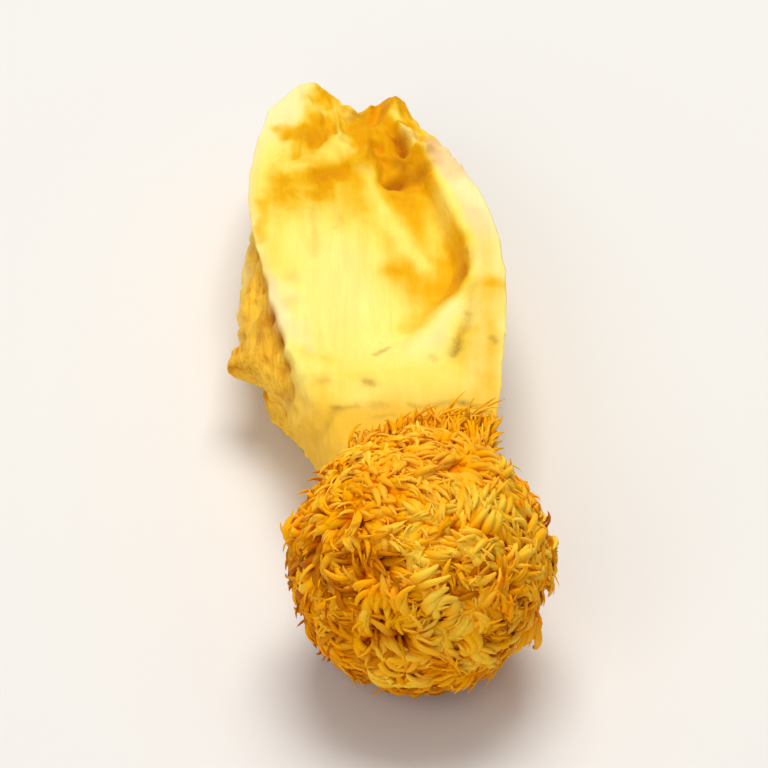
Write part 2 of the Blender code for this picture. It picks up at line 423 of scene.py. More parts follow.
@dataclass(frozen=True)
class ToothFinish:
    """Dried teeth, brown where they grow, partly painted shade deep in the coat, and gold to straw at their
    tips.
    """

    root: tuple[float, ...] = srgb(214, 110, 0)
    middle: tuple[float, ...] = srgb(255, 176, 0)
    tip: tuple[float, ...] = srgb(255, 208, 66)
    orange: tuple[float, ...] = srgb(255, 158, 0)
    # The brown of the painted shade on teeth marked dark, low down and on the left.
    brown: tuple[float, ...] = srgb(180, 92, 0)
    glint: tuple[float, ...] = (1.0, 0.72, 0.2, 1.0)
    cloud_waves: tuple[float, float, float] = (0.13, 0.13, 0.13)
    grain_waves: tuple[float, float, float] = (2.6, 2.6, 2.6)
    relief: float = 0.05
    roughness: float = 0.6
    specular: float = 0.06
    subsurface: float = 0.15
    subsurface_radius: tuple[float, float, float] = (1.0, 0.45, 0.1)
    subsurface_reach: float = 0.3

    def material(self) -> bpy.types.Material:
        """Mixes the teeth's colours along their lengths, by how bright and how tinted each is.

        Returns:
            The finish as a material.
        """
        shade = Shade("dried_teeth")
        along, tint, bright = shade.mark(Mark.ALONG), shade.mark(Mark.TINT), shade.mark(Mark.BRIGHT)
        clouds = shade.noise(self.cloud_waves)
        grain = shade.noise(self.grain_waves)
        # Darker towards the roots, as painted shade deep in the coat, and less so where the teeth are
        # painted bright.
        colour = shade.mixed((along + (bright - 0.5) * 0.6).stepped(0.0, 0.5), self.root, self.middle)
        # Lighter tips, most where the teeth are painted bright: partly painted highlight.
        tips = along.stepped(0.15, 0.75) * (bright.stepped(0.5, 1.0) * 0.9 + tint**2.5 * 0.6)
        colour = shade.mixed(tips.clamped(), colour, self.tip)
        colour = shade.mixed((clouds.stepped(0.4, 0.62) * 0.55).clamped(), colour, self.orange)
        # Browner where the teeth are marked dark: painted shade.
        colour = shade.mixed(((0.45 - bright) * 1.8 * (1.1 - tips)).clamped(), colour, self.brown)
        rough = (self.roughness + (grain - 0.5) * 0.25).clamped()
        fixed = {
            "Subsurface Weight": self.subsurface,
            "Subsurface Radius": self.subsurface_radius,
            "Subsurface Scale": self.subsurface_reach * MM,
            "Specular IOR Level": self.specular,
            "Specular Tint": self.glint,
        }
        return shade.finish(colour, rough, shade.bumped(grain, self.relief), fixed)


@dataclass(frozen=True)
class FloorFinish:
    """A plain pale floor."""

    colour: tuple[float, ...] = srgb(232, 228, 221)
    roughness: float = 0.7

    def material(self) -> bpy.types.Material:
        """Colours the floor evenly.

        Returns:
            The finish as a material.
        """
        shade = Shade("pale_floor")
        shade.shader.inputs["Base Color"].default_value = self.colour
        shade.shader.inputs["Roughness"].default_value = self.roughness
        return shade.material


def kept_piece(name: str, mesh: bmesh.types.BMesh, material: bpy.types.Material) -> bpy.types.Object:
    """Makes a piece of the mushroom from a mesh in millimetres.

    Args:
        name: The piece's name.
        mesh: Its shape, which is used up.
        material: Its finish.

    Returns:
        The piece, which rides on the body in the solid's place.
    """
    bmesh.ops.translate(mesh, vec=HEAD_AT, verts=mesh.verts[:])
    bmesh.ops.scale(mesh, vec=(MM, MM, MM), verts=mesh.verts[:])
    data = bpy.data.meshes.new(name)
    mesh.to_mesh(data)
    mesh.free()
    data.shade_smooth()
    data.materials.append(material)
    piece = bpy.data.objects.new(name, data)
    bpy.context.scene.collection.objects.link(piece)
    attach(piece, BODY)
    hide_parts(NODE)
    log.info("%s: %d points, %d faces", name, len(data.vertices), len(data.polygons))
    return piece


@dataclass(frozen=True)
class Section:
    """A section across the stalk: its place along it, its edges from left to right, and its heights."""

    along: float
    left: float
    cut_left: float
    rim: float
    cut_right: float
    right: float
    under: float
    cut: float

    @property
    def middle(self) -> Vector:
        """The section's middle, across and up."""
        return Vector(((self.left + self.right) / 2, (self.under + self.cut) / 2))


@dataclass(frozen=True)
class Stroke:
    """A soft-edged stretch of the cut, which moves or colours it by an amount."""

    start: tuple[float, float]
    end: tuple[float, float]
    width: float
    amount: float

    def at(self, x: float, y: float) -> float:
        """Reads the stroke at a place.

        Args:
            x: The place across.
            y: The place along.

        Returns:
            Its amount there, which is 0 well past its ends.
        """
        from_middle = abs(y - (self.start[1] + self.end[1]) / 2)
        if from_middle > abs(self.start[1] - self.end[1]) / 2 + 2.5 * self.width:
            return 0.0
        return self.amount * hill(off_line(x, y, self.start, self.end), self.width)


def laid(strokes: Sequence[Stroke], place: tuple[float, float]) -> float:
    """What some strokes add up to at a place."""
    return sum(stroke.at(*place) for stroke in strokes)


@dataclass(frozen=True)
class Nick:
    """A small round hollow in the skin, with its depth and how much painted shade darkens it."""

    along: float
    high: float
    width: float
    depth: float
    brown: float

    def at(self, y: float, z: float) -> float:
        """The share of it that is at a place."""
        return hill(math.hypot(y - self.along, z - self.high), self.width)


@dataclass(frozen=True)
class Band:
    """A soft band along the skin, which paints shade on it by an amount."""

    along: float
    length: float
    high: float
    thick: float
    amount: float

    def at(self, y: float, z: float) -> float:
        """Its amount at a place."""
        return self.amount * hill(y - self.along, self.length) * hill(z - self.high, self.thick)


@dataclass(frozen=True)
class Lobe:
    """A lobe of the far end, which stands out past the rest by a length."""

    across: float
    width: float
    length: float


@dataclass(frozen=True)
class Flap:
    """The flap that stands out from the skin on the left."""

    along: float = 25.9
    high: float = 5.9
    near: float = 0.5
    far: float = 2.3
    thick: float = 1.7
    height: float = 1.3
    fade: tuple[float, float] = (0.45, 1.5)
    side: tuple[float, float] = (2.0, 8.0)

    def at(self, y: float, z: float, from_middle: float) -> float:
        """Finds how far the flap stands out at a place.

        Args:
            y: The place along.
            z: Its height.
            from_middle: How far to the left of the stalk's middle it is.

        Returns:
            The distance outwards.
        """
        along = (y - self.along) / (self.near if y < self.along else self.far)
        out = self.height * (1 - smooth_step(math.hypot(along, (z - self.high) / self.thick), *self.fade))
        ragged = 1 + 0.5 * noise.noise(Vector((0, y * 0.9, z * 0.5)))
        return out * smooth_step(from_middle, *self.side) * ragged


@dataclass
class Stalk:
    """The stalk, sliced lengthways, with its dried cut face up and its skin below."""

    name: str = "sliced_stalk"
    around: int = 288
    rings: int = 330
    crowding: float = 0.35
    stray: float = 1.3
    feature_stray: float = 0.4
    crumple: float = 0.95
    # The share and the fineness of each layer of crumples.
    crumple_layers: tuple[tuple[float, float], ...] = ((0.55, 0.34), (0.33, 0.8), (0.12, 1.7))
    crumple_from: tuple[float, float] = (42.0, 50.0)
    crumple_margin: tuple[float, float] = (1.5, 4.5)
    unevenness: float = 0.3
    sections: tuple[Section, ...] = (
        Section(1.0, -5.0, -4.2, 1.8, 4.0, 4.6, 4.8, 13.2),
        Section(9.0, -6.8, -4.7, 2.4, 5.2, 5.5, 3.2, 12.4),
        Section(15.0, -8.6, -6.2, 2.8, 5.9, 5.8, 1.8, 11.5),
        Section(20.0, -10.4, -8.5, 3.1, 6.4, 6.1, 0.4, 10.9),
        Section(25.0, -13.1, -10.1, 3.5, 6.8, 6.4, -0.4, 10.5),
        Section(30.0, -14.1, -11.1, 3.9, 6.9, 6.4, -0.6, 10.3),
        Section(36.0, -14.1, -12.4, 3.8, 6.5, 6.0, -0.6, 10.2),
        Section(42.0, -13.4, -13.3, 2.4, 5.3, 4.9, -0.5, 10.0),
        Section(47.0, -12.8, -13.1, 0.8, 3.3, 3.2, -0.2, 9.8),
        Section(51.0, -12.3, -12.6, -0.5, 0.9, 1.0, 0.9, 9.5),
        Section(54.0, -11.6, -11.9, -2.2, -0.9, -0.7, 2.6, 9.1),
    )
    # How far each edge wanders, and where its noise is read.
    wobbles: tuple[tuple[str, float, float], ...] = (
        ("left", 0.35, 3.0),
        ("cut_left", 0.45, 8.0),
        ("rim", 0.45, 14.0),
        ("cut_right", 0.2, 21.0),
        ("right", 0.2, 27.0),
    )
    uneven_middle: float = 27.0
    uneven_length: float = 8.0
    near_cap: float = 1.0
    far_cap: float = 1.3
    near_cap_share: float = 0.05
    far_cap_share: float = 0.10
    far_cap_bluntness: float = 0.6
    wall_share: float = 3 / 24
    rim_share: float = 4 / 18
    cut_edge_blend: float = 0.78
    neck_edge_blend: float = 0.1
    side_height_share: float = 0.55
    belly_fullness: float = 0.95
    rim_rise: float = 0.8
    rim_rise_middle: float = 34.0
    rim_rise_length: float = 15.0
    dish_depth: float = 2.5
    dish_wall: float = 1.1
    dish_width: float = 15.0
    dish_near: tuple[float, float] = (19.0, 28.0)
    dish_far: tuple[float, float] = (38.0, 53.0)
    crease: tuple[tuple[float, float], tuple[float, float]] = ((3.9, 30.9), (-0.2, 23.3))
    crease_slope: float = 3.0
    folds: tuple[Stroke, ...] = (
        Stroke((-8.8, 51.6), (-8.4, 50.2), 0.7, -0.4),
        Stroke((-10.1, 50.9), (-9.8, 50.9), 0.6, -0.2),
        Stroke((-7.7, 46.1), (-6.3, 46.5), 0.9, -0.4),
        Stroke((-7.2, 50.3), (-4.7, 47.7), 0.8, 0.5),
        Stroke((-1.4, 51.4), (-0.9, 50.4), 0.35, 0.6),
        Stroke((-0.9, 50.4), (-0.1, 48.9), 0.35, 0.5),
        Stroke((-1.8, 50.9), (-1.0, 49.1), 0.35, -0.6),
        Stroke((-2.1, 45.9), (-0.9, 46.0), 0.5, -0.8),
        Stroke((-1.3, 52.7), (-1.7, 53.3), 0.5, 0.5),
        Stroke((-0.9, 54.2), (-2.6, 52.9), 0.8, 0.5),
        Stroke((-2.7, 54.5), (-3.7, 52.9), 0.5, -0.6),
        Stroke((-5.0, 54.6), (-2.0, 55.6), 0.9, 0.4),
        Stroke((-5.3, 53.6), (-4.3, 54.3), 0.5, -0.5),
        Stroke((-4.3, 52.2), (-3.5, 47.4), 0.7, 0.6),
        Stroke((-3.4, 50.2), (-2.7, 46.4), 0.5, -0.5),
        Stroke((3.9, 35.6), (3.9, 32.8), 0.3, -0.4),
        Stroke((3.9, 27.6), (2.7, 21.6), 0.35, -0.2),
    )
    # Ochre strokes: the flesh's own ochre, and at the far end's pits painted shade.
    ochre_and_pit_shade: tuple[Stroke, ...] = (
        Stroke((-8.9, 52.0), (-8.2, 50.0), 0.9, 0.8),
        Stroke((-8.7, 51.6), (-8.3, 50.2), 0.5, 0.5),
        Stroke((-10.2, 50.9), (-9.8, 50.9), 0.6, 0.7),
        Stroke((-7.7, 45.9), (-5.9, 46.5), 1.1, 0.75),
        Stroke((-7.4, 46.0), (-6.3, 46.5), 0.6, 0.5),
        Stroke((-8.6, 51.4), (-7.0, 52.1), 1.4, 0.3),
        Stroke((-3.7, 52.9), (-2.7, 54.5), 0.7, 0.7),
        Stroke((-2.7, 50.8), (-2.0, 47.6), 1.3, 0.5),
        Stroke((-2.2, 52.2), (-1.0, 51.8), 0.9, 0.5),
        Stroke((0.0, 47.8), (0.3, 45.6), 0.7, 0.8),
        Stroke((-4.0, 51.5), (-2.8, 46.5), 1.2, 0.5),
        Stroke((-2.4, 55.8), (-1.4, 53.9), 1.3, 0.85),
        Stroke((-1.2, 44.0), (0.2, 41.0), 1.0, 0.25),
        Stroke((3.4, 36.6), (3.2, 32.0), 1.1, 0.35),
        Stroke((2.0, 31.2), (-1.6, 34.6), 1.8, 0.3),
        Stroke((-11.0, 46.5), (-11.4, 34.0), 1.5, 0.3),
        Stroke((-9.6, 43.6), (-4.0, 43.0), 3.4, 0.3),
        Stroke((2.8, 42.5), (3.7, 32.0), 0.5, 0.2),
        Stroke((-1.6, 39.0), (-1.9, 35.5), 1.3, 0.22),
        Stroke((3.4, 25.2), (3.0, 21.2), 1.0, 0.4),
        Stroke((-10.8, 52.0), (-9.6, 51.7), 0.8, 0.6),
        Stroke((-12.3, 41.8), (-12.4, 37.0), 0.5, 0.4),
        Stroke((0.6, 37.5), (-0.1, 35.5), 1.3, 0.2),
        Stroke((-0.1, 29.5), (-0.5, 27.8), 1.0, 0.25),
        Stroke((5.4, 30.0), (5.3, 17.0), 1.6, 0.5),
        Stroke((5.6, 35.5), (5.6, 31.0), 1.1, 0.3),
        Stroke((-7.6, 18.6), (-6.2, 13.5), 1.6, 0.35),
        Stroke((-4.9, 20.2), (2.2, 19.4), 1.7, 0.22),
        Stroke((-8.8, 22.6), (-6.8, 22.0), 1.0, 0.3),
    )
    cream_stains: tuple[Stroke, ...] = (
        Stroke((2.7, 28.6), (0.4, 23.4), 1.3, 0.55),
        Stroke((-11.3, 31.5), (-8.4, 23.4), 0.9, 0.5),
        Stroke((-5.5, 35.0), (-6.0, 29.0), 2.6, 0.2),
        Stroke((-1.2, 51.2), (-0.2, 49.2), 0.35, 0.7),
    )
    lemon_stains: tuple[Stroke, ...] = (
        Stroke((-2.6, 41.9), (0.5, 36.4), 1.0, 0.7),
        Stroke((1.7, 44.2), (1.7, 38.4), 1.1, 0.35),
        Stroke((3.2, 36.0), (3.4, 35.0), 0.8, 0.2),
        Stroke((-10.2, 46.9), (-9.1, 46.7), 0.9, 0.5),
        Stroke((-5.9, 50.6), (-5.5, 49.0), 0.7, 0.6),
        Stroke((-7.4, 48.9), (-6.9, 48.8), 0.9, 0.5),
        Stroke((-4.3, 46.6), (-3.0, 42.8), 0.7, 0.6),
        Stroke((-1.3, 52.6), (-1.8, 53.4), 0.6, 0.8),
        Stroke((-1.2, 51.2), (-0.2, 49.2), 0.35, 0.7),
    )
    # Painted shade, in dark brown, along the far end's folds, in its pits and in the slit by the rim.
    fold_and_pit_shade: tuple[Stroke, ...] = (
        Stroke((-1.8, 50.9), (-1.0, 49.2), 0.32, 0.85),
        Stroke((-2.1, 45.9), (-0.9, 46.0), 0.55, 0.85),
        Stroke((-1.6, 48.2), (0.2, 46.6), 0.7, 0.55),
        Stroke((-8.8, 51.6), (-8.5, 50.2), 0.6, 0.2),
        Stroke((-7.4, 46.1), (-6.4, 46.5), 0.7, 0.25),
        Stroke((0.9, 49.3), (1.3, 47.2), 0.6, 0.35),
        Stroke((-5.2, 53.7), (-4.4, 54.3), 0.4, 0.4),
        Stroke((3.6, 35.4), (3.7, 32.6), 0.35, 0.6),
    )
    spots: tuple[Stroke, ...] = (
        Stroke((-3.3, 23.0), (-2.4, 24.1), 0.3, 0.6),
        Stroke((-4.0, 19.3), (-3.6, 19.3), 0.55, 0.65),
        Stroke((-7.4, 19.3), (-7.0, 19.4), 0.6, 0.4),
        Stroke((1.1, 21.6), (1.1, 21.8), 0.4, 0.4),
        Stroke((-8.2, 41.5), (-8.0, 35.5), 0.35, 0.25),
        Stroke((-6.2, 41.5), (-6.1, 39.5), 0.35, 0.2),
        Stroke((-9.7, 32.2), (-9.7, 32.6), 0.6, 0.25),
        Stroke((-9.8, 28.7), (-9.8, 29.2), 0.6, 0.2),
        Stroke((4.2, 30.6), (3.9, 27.4), 0.35, 0.3),
        Stroke((3.9, 27.2), (2.8, 21.9), 0.4, 0.5),
        Stroke((3.0, 23.8), (2.7, 22.4), 0.6, 0.45),
        Stroke((5.6, 23.6), (5.5, 24.0), 0.32, 0.7),
        Stroke((-7.0, 13.9), (-6.2, 15.6), 0.45, 0.55),
        Stroke((-6.2, 15.6), (-4.6, 15.9), 0.45, 0.5),
        Stroke((-3.0, 15.8), (-2.5, 15.8), 0.5, 0.4),
        Stroke((-3.2, 14.4), (-2.2, 14.5), 0.4, 0.4),
        Stroke((-0.4, 15.9), (3.4, 16.1), 0.35, 0.5),
        Stroke((3.4, 16.1), (5.2, 15.0), 0.35, 0.5),
    )
    # How strong the cut's colours are, and from where to where along it or across it they fade.
    dish_ochre: float = 0.7
    dish_ochre_fade: tuple[float, float] = (0.5, 8.5)
    dish_ochre_middle: float = 37.5
    dish_ochre_length: float = 11.0
    far_ochre: float = 0.65
    far_ochre_from: tuple[float, float] = (36.0, 48.0)
    far_ochre_slant: float = 4.0
    far_ochre_margin: tuple[float, float] = (0.8, 3.2)
    rim_ochre_from: tuple[float, float] = (48.5, 50.5)
    pale_lobe: float = 0.95
    pale_lobe_from: tuple[float, float] = (48.5, 53.0)
    pale_lobe_width: tuple[float, float] = (2.4, 4.2)
    pale_line: float = 0.7
    pale_line_width: tuple[float, float] = (0.3, 0.9)
    pale_line_from: tuple[float, float] = (22.0, 28.0)
    cream_rim_near: tuple[float, float] = (10.0, 24.0)
    cream_rim_strong: tuple[float, float] = (35.0, 42.0)
    cream_rim_far: tuple[float, float] = (49.0, 51.0)
    neck_gold: float = 0.95
    neck_gold_fade: tuple[float, float] = (14.5, 21.5)
    neck_pale: Stroke = Stroke((-6.6, 17.8), (-5.2, 17.2), 1.8, 0.4)
    # What marks the skin on the left: dents darkened with painted shade, and two bands of painted shade.
    # The first band is measured from the cut, the second from the floor.
    nicks: tuple[Nick, ...] = (
        Nick(31.5, 9.3, 0.6, 0.20, 0.5),
        Nick(28.6, 9.2, 0.6, 0.30, 0.8),
        Nick(25.9, 9.2, 0.6, 0.35, 0.9),
        Nick(22.9, 9.3, 0.6, 0.25, 0.7),
        Nick(26.6, 4.2, 0.6, 0.40, 0.4),
        Nick(20.3, 8.4, 1.2, 0.10, 0.5),
        Nick(35.0, 8.8, 0.8, 0.20, 0.3),
    )
    shade_under_edge: Band = Band(28.0, 4.2, -0.9, 0.9, 0.5)
    shade_on_flank: Band = Band(27.5, 4.0, 7.0, 2.0, 0.2)
    pale_skin: float = 0.5
    pale_skin_high: float = 6.0
    pale_skin_thick: float = 0.8
    pale_skin_near: tuple[float, float] = (27.0, 32.0)
    pale_skin_far: tuple[float, float] = (41.0, 45.0)
    # The far end's outline, the neck, and the relief of the skin.
    lobes: tuple[Lobe, ...] = (Lobe(-8.9, 4.2, 4.1), Lobe(-2.3, 2.4, 1.5))
    lobe_from: tuple[float, float] = (49.0, 55.0)
    lobe_top: float = 8.0
    round_neck: tuple[float, float] = (17.0, 24.0)
    neck_line: float = 20.6
    neck_line_wave: float = 0.7
    neck_line_bow: float = 0.02
    neck_step: float = 0.3
    flap: Flap = Flap()
    furrow_depth: float = 0.5
    furrows_around: int = 8
    wrinkle_depth: float = 0.55
    fine_wrinkle_depth: float = 0.35
    skin_lumps: float = 0.3
    fibre_height: float = 0.10
    thread_height: float = 0.05
    grain_height: float = 0.03
    skin_grain_height: float = 0.12
    finish: StalkFinish = field(default_factory=StalkFinish)

    def section(self, along: float) -> Section:
        """The section at a place along the stalk, on the smooth curve through those that are given.

        Args:
            along: The place.

        Returns:
            The section there.
        """
        rows, last = self.sections, len(self.sections) - 1
        index = max(i for i in range(last) if i == 0 or rows[i].along <= along)
        span = rows[index + 1].along - rows[index].along
        t = held((along - rows[index].along) / span)
        ends = [astuple(rows[i]) for i in (max(index - 1, 0), index, index + 1, min(index + 2, last))]
        slopes = [
            [span * (high - low) / (after[0] - before[0]) for low, high in zip(before, after)]
            for before, after in zip(ends, ends[2:])
        ]
        ease = t * t * (3 - 2 * t)
        values = [
            start + (end - start) * ease + slope * t * (1 - t) ** 2 - slope_after * t * t * (1 - t)
            for start, end, slope, slope_after in zip(ends[1], ends[2], *slopes)
        ]
        smooth = Section(*values)
        uneven = 0.25 + 0.75 * hill(along - self.uneven_middle, self.uneven_length)
        moved = {}
        for name, wobble, apart in self.wobbles:
            broad = noise.noise(Vector((along * 0.45, apart, 0)))
            fine = 0.4 * noise.noise(Vector((along * 1.3, apart, 5)))
            moved[name] = getattr(smooth, name) + wobble * uneven * (broad + fine)
        return replace(smooth, **moved)

    def place(self, share: float) -> tuple[float, float]:
        """Finds where a ring of the mesh lies.

        Args:
            share: The ring's share of the way along, from 0 to 1.

        Returns:
            How far along it is, and its size, which is under 1 only in the rounded ends.
        """
        start, end = self.sections[0].along, self.sections[-1].along
        if share < self.near_cap_share:
            turn = (1 - share / self.near_cap_share) * math.pi / 2
            return start - self.near_cap * math.sin(turn), math.cos(turn)
        if share > 1 - self.far_cap_share:
            turn = (share - 1 + self.far_cap_share) / self.far_cap_share * math.pi / 2
            return end + self.far_cap * math.sin(turn), math.cos(turn) ** self.far_cap_bluntness
        body = (share - self.near_cap_share) / (1 - self.near_cap_share - self.far_cap_share)
        return start + (end - start) * body, 1.0

    def outline(self, angle: float, section: Section) -> tuple[float, float]:
        """A point of a section: the belly, the skin that slopes in above it, and the cut on top.

        Args:
            angle: The point's angle, from the right-hand side over the cut.
            section: The section.

        Returns:
            Its place across and its height.
        """
        side = section.under + (section.cut - section.under) * self.side_height_share
        if math.sin(angle) < 0:
            across = math.copysign(abs(math.cos(angle)) ** self.belly_fullness, math.cos(angle))
            half = (section.right - section.left) / 2
            return section.middle.x + half * across, side + (side - section.under) * math.sin(angle)
        turn = angle / math.pi
        wall = min(turn, 1 - turn) / self.wall_share
        if wall < 1:
            on_right = turn < 0.5
            foot = section.right if on_right else section.left
            top = section.cut_right if on_right else section.cut_left
            rounded = 1 - smooth_step(section.along, *self.round_neck)
            bend = wall * math.pi / 2
            inward = wall**2 * (1 - rounded) + (1 - math.cos(bend)) * rounded
            upward = wall * (1 - rounded) + math.sin(bend) * rounded
            return foot + (top - foot) * inward, side + (section.cut - side) * upward
        across = (turn - self.wall_share) / (1 - 2 * self.wall_share)
        if across < self.rim_share:
            from_edge = (section.rim - section.cut_right) * across / self.rim_share
            return section.cut_right + from_edge, section.cut
        inner = (across - self.rim_share) / (1 - self.rim_share)
        return section.rim + (section.cut_left - section.rim) * inner, section.cut

    def past_crease(self, x: float, y: float) -> float:
        """Finds how far a point of the cut lies on the dish's side of the slanting crease.

        Args:
            x: The point's place across.
            y: Its place along.

        Returns:
            The distance, which is below 0 on the other side.
        """
        start, end = (Vector(point) for point in self.crease)
        run = (end - start).normalized()
        return (x - start.x) * run.y - (y - start.y) * run.x

    def strayed(self, x: float, y: float, share: float = 1.0) -> tuple[float, float]:
        """Moves a point of the cut a little, so that what is drawn with straight strokes comes out uneven.

        Args:
            x: The point's place across.
            y: Its place along.
            share: How much of the usual way it is moved.

        Returns:
            The moved point.
        """
        broad = drift(Vector((x, y, 11)) * 0.45) * self.stray
        stray = broad + drift(Vector((x, y, 17)) * 1.6) * self.stray * 0.2
        return x + stray.x * share, y + stray.y * share

    def crumpled(self, x: float, y: float) -> float:
        """Finds how high the crumples of the far end are.

        Args:
            x: The place across.
            y: The place along.

        Returns:
            A share, from 0 in the hollows to 1 on the ridges.
        """
        stray_x, stray_y = self.strayed(x, y)
        folds = sum(
            share * ridges(Vector((stray_x, stray_y * 0.85, 9)) * fineness)
            for share, fineness in self.crumple_layers
        )
        return smooth_step(folds, 0.1, 0.9)

    def relief(self, x: float, y: float, section: Section) -> float:
        """How far the dried cut stands above or sinks below the knife's plane.

        Args:
            x: The place across.
            y: The place along.
            section: The section there.

        Returns:
            The height over the plane.
        """
        from_rim = section.rim - x
        near_rim = 1 - smooth_step(from_rim, 0, self.dish_wall)
        lip = held(-from_rim / max(section.cut_right - section.rim, 0.1))
        rounded = 0.55 + 0.45 * math.sin(math.pi * (0.15 + 0.75 * lip))
        rise = self.rim_rise * near_rim * rounded * hill(y - self.rim_rise_middle, self.rim_rise_length)
        dish = self.dish_depth * (1 - near_rim) * (1 - smooth_step(from_rim, 0, self.dish_width))
        dish *= smooth_step(self.past_crease(x, y), 0, self.crease_slope)
        dish *= smooth_step(y, *self.dish_near) * (1 - smooth_step(y, *self.dish_far))
        height = rise - dish + laid(self.folds, self.strayed(x, y, self.feature_stray))
        rough = smooth_step(y, *self.crumple_from) * smooth_step(x - section.cut_left, *self.crumple_margin)
        height += self.crumple * (self.crumpled(x, y) - 0.5) * rough
        height += self.unevenness * noise.noise(Vector((x * 0.3, y * 0.13, 5))) * (1 - rough)
        line = self.neck_line + self.neck_line_wave * noise.noise(Vector((x * 0.5, 0, 3)))
        line -= self.neck_line_bow * (x + 2) ** 2
        return height - self.neck_step * (1 - smooth_step(y, line - 0.5, line + 0.4))

    def reach(self, x: float, y: float, z: float) -> float:
        """Finds how far the far end's lobes move a point along the stalk, most of all near the cut.

        Args:
            x: The point's place across.
            y: Its place along.
            z: Its height.

        Returns:
            The distance along.
        """
        far = 0.0
        for lobe in self.lobes:
            far += lobe.length * (1 - smooth_step(abs(x - lobe.across), 0, lobe.width))
        return far * smooth_step(y, *self.lobe_from) * smooth_step(z, 0, self.lobe_top)

    def nicked(self, place: Vector, section: Section) -> tuple[float, float]:
        """Finds how deep the skin is nicked under the left edge of the cut, and how much painted shade
        darkens it.

        Args:
            place: A place on the skin.
            section: The section there.

        Returns:
            The depth, and the share of painted shade.
        """
        if place.x > section.middle.x:
            return 0.0, 0.0
        shares = [(nick, nick.at(place.y, place.z)) for nick in self.nicks]
        depth = sum(share * nick.depth for nick, share in shares)
        # Painted shade under the cut's edge, on the flank and in the dents.
        brown = self.shade_under_edge.at(place.y, place.z - section.cut)
        brown += self.shade_on_flank.at(place.y, place.z)
        return depth, brown + sum(share * nick.brown for nick, share in shares)

    def paled(self, place: Vector, section: Section) -> float:
        """Finds how pale the skin's left side is.

        Args:
            place: A place on the skin.
            section: The section there.

        Returns:
            A share from 0 to 1.
        """
        if place.x >= section.middle.x:
            return 0.0
        along = smooth_step(place.y, *self.pale_skin_near) * (1 - smooth_step(place.y, *self.pale_skin_far))
        return self.pale_skin * hill(place.z - self.pale_skin_high, self.pale_skin_thick) * along

    def furrowed(self, angle: float, place: Vector) -> float:
        """Finds how far the dried skin's furrows, wrinkles and lumps move it outwards.

        Args:
            angle: The angle round the section.
            place: The place on the skin.

        Returns:
            The distance, which is below 0 in the furrows.
        """
        wander = 2 * noise.noise(Vector((0, place.y * 0.06, 0)))
        out = self.furrow_depth * (math.cos(self.furrows_around * angle + wander) - 1)
        ring = Vector((math.cos(angle) * 3.2, place.y * 0.11, math.sin(angle) * 3.2))
        out -= self.wrinkle_depth * (1 - ridges(ring)) + self.fine_wrinkle_depth * (1 - ridges(ring * 2.3))
        return out + self.skin_lumps * noise.noise(Vector((place.x * 0.6, place.y * 0.7, place.z * 0.6)))

    def point(self, angle: float, y: float, size: float, section: Section) -> tuple[Vector, float]:
        """A point of the stalk's surface.

        Args:
            angle: Its angle round the section.
            y: How far along the ring is.
            size: The ring's size in its section.
            section: The section.

        Returns:
            The point, and whether it is on the cut, from 0 to 1.
        """
        x, z = self.outline(angle, section)
        edge_sine = math.sin(math.pi * self.wall_share)
        sharp = smooth_step(section.along, *self.round_neck)
        blend = self.neck_edge_blend + (self.cut_edge_blend - self.neck_edge_blend) * sharp
        on_cut = smooth_step(math.sin(angle), edge_sine * blend, edge_sine)
        z += on_cut * self.relief(x, y, section)
        middle, place = section.middle, Vector((x, y, z))
        out = self.furrowed(angle, place) - self.nicked(place, section)[0]
        out *= (1 - on_cut) * smooth_step(z, 0.5, 2.5) * (0.6 + 0.4 * sharp)
        move = (Vector((x, z)) - middle).normalized() * out
        flap = self.flap.at(y, z, middle.x - x)
        x = middle.x + (x + move.x - middle.x) * size - flap
        z = middle.y + (z + move.y - middle.y) * size
        return Vector((x, y + self.reach(x, y, z), max(z, 0.0))), on_cut

    def paled_lobe(self, x: float, y: float, section: Section) -> float:
        """Finds how far the cut is paled by the far end's left lobe.

        Args:
            x: The place across.
            y: The place along.
            section: The section there.

        Returns:
            A share from 0 to 1.
        """
        margin = x - section.cut_left + 0.5 * (self.strayed(x, y)[1] - y)
        return smooth_step(y, *self.pale_lobe_from) * (1 - smooth_step(margin, *self.pale_lobe_width))

    def ochred(self, x: float, y: float, section: Section) -> float:
        """Finds how ochre the cut is: in its dish and the far end's hollows, where it is partly painted
        shade, and along its ochre strokes.

        Args:
            x: The place across.
            y: The place along.
            section: The section there.

        Returns:
            The share of ochre, which may be over 1.
        """
        from_rim = section.rim - x
        # The dish's ochre is strongest beside the rim's wall: partly painted shade.
        dish = smooth_step(self.past_crease(x, y), -0.2, 1.0) * smooth_step(from_rim, -0.1, 0.5)
        dish *= 1 - smooth_step(from_rim, *self.dish_ochre_fade)
        dish *= hill(y - self.dish_ochre_middle, self.dish_ochre_length)
        start, full = self.far_ochre_from
        far = smooth_step(y, start + self.far_ochre_slant * smooth_step(x, -7, -2), full)
        far *= smooth_step(x - section.cut_left, *self.far_ochre_margin)
        far *= max(smooth_step(from_rim, -0.6, 0.3), smooth_step(y, *self.rim_ochre_from))
        # More ochre in the crumples' hollows: painted shade.
        far *= 0.6 + 0.7 * (1 - self.crumpled(x, y))
        far *= 1 - 0.9 * self.paled_lobe(x, y, section)
        place = self.strayed(x, y, self.feature_stray)
        ochre = self.dish_ochre * dish + self.far_ochre * far + laid(self.ochre_and_pit_shade, place)
        return ochre * (1 - min(0.9, laid(self.lemon_stains, place)))

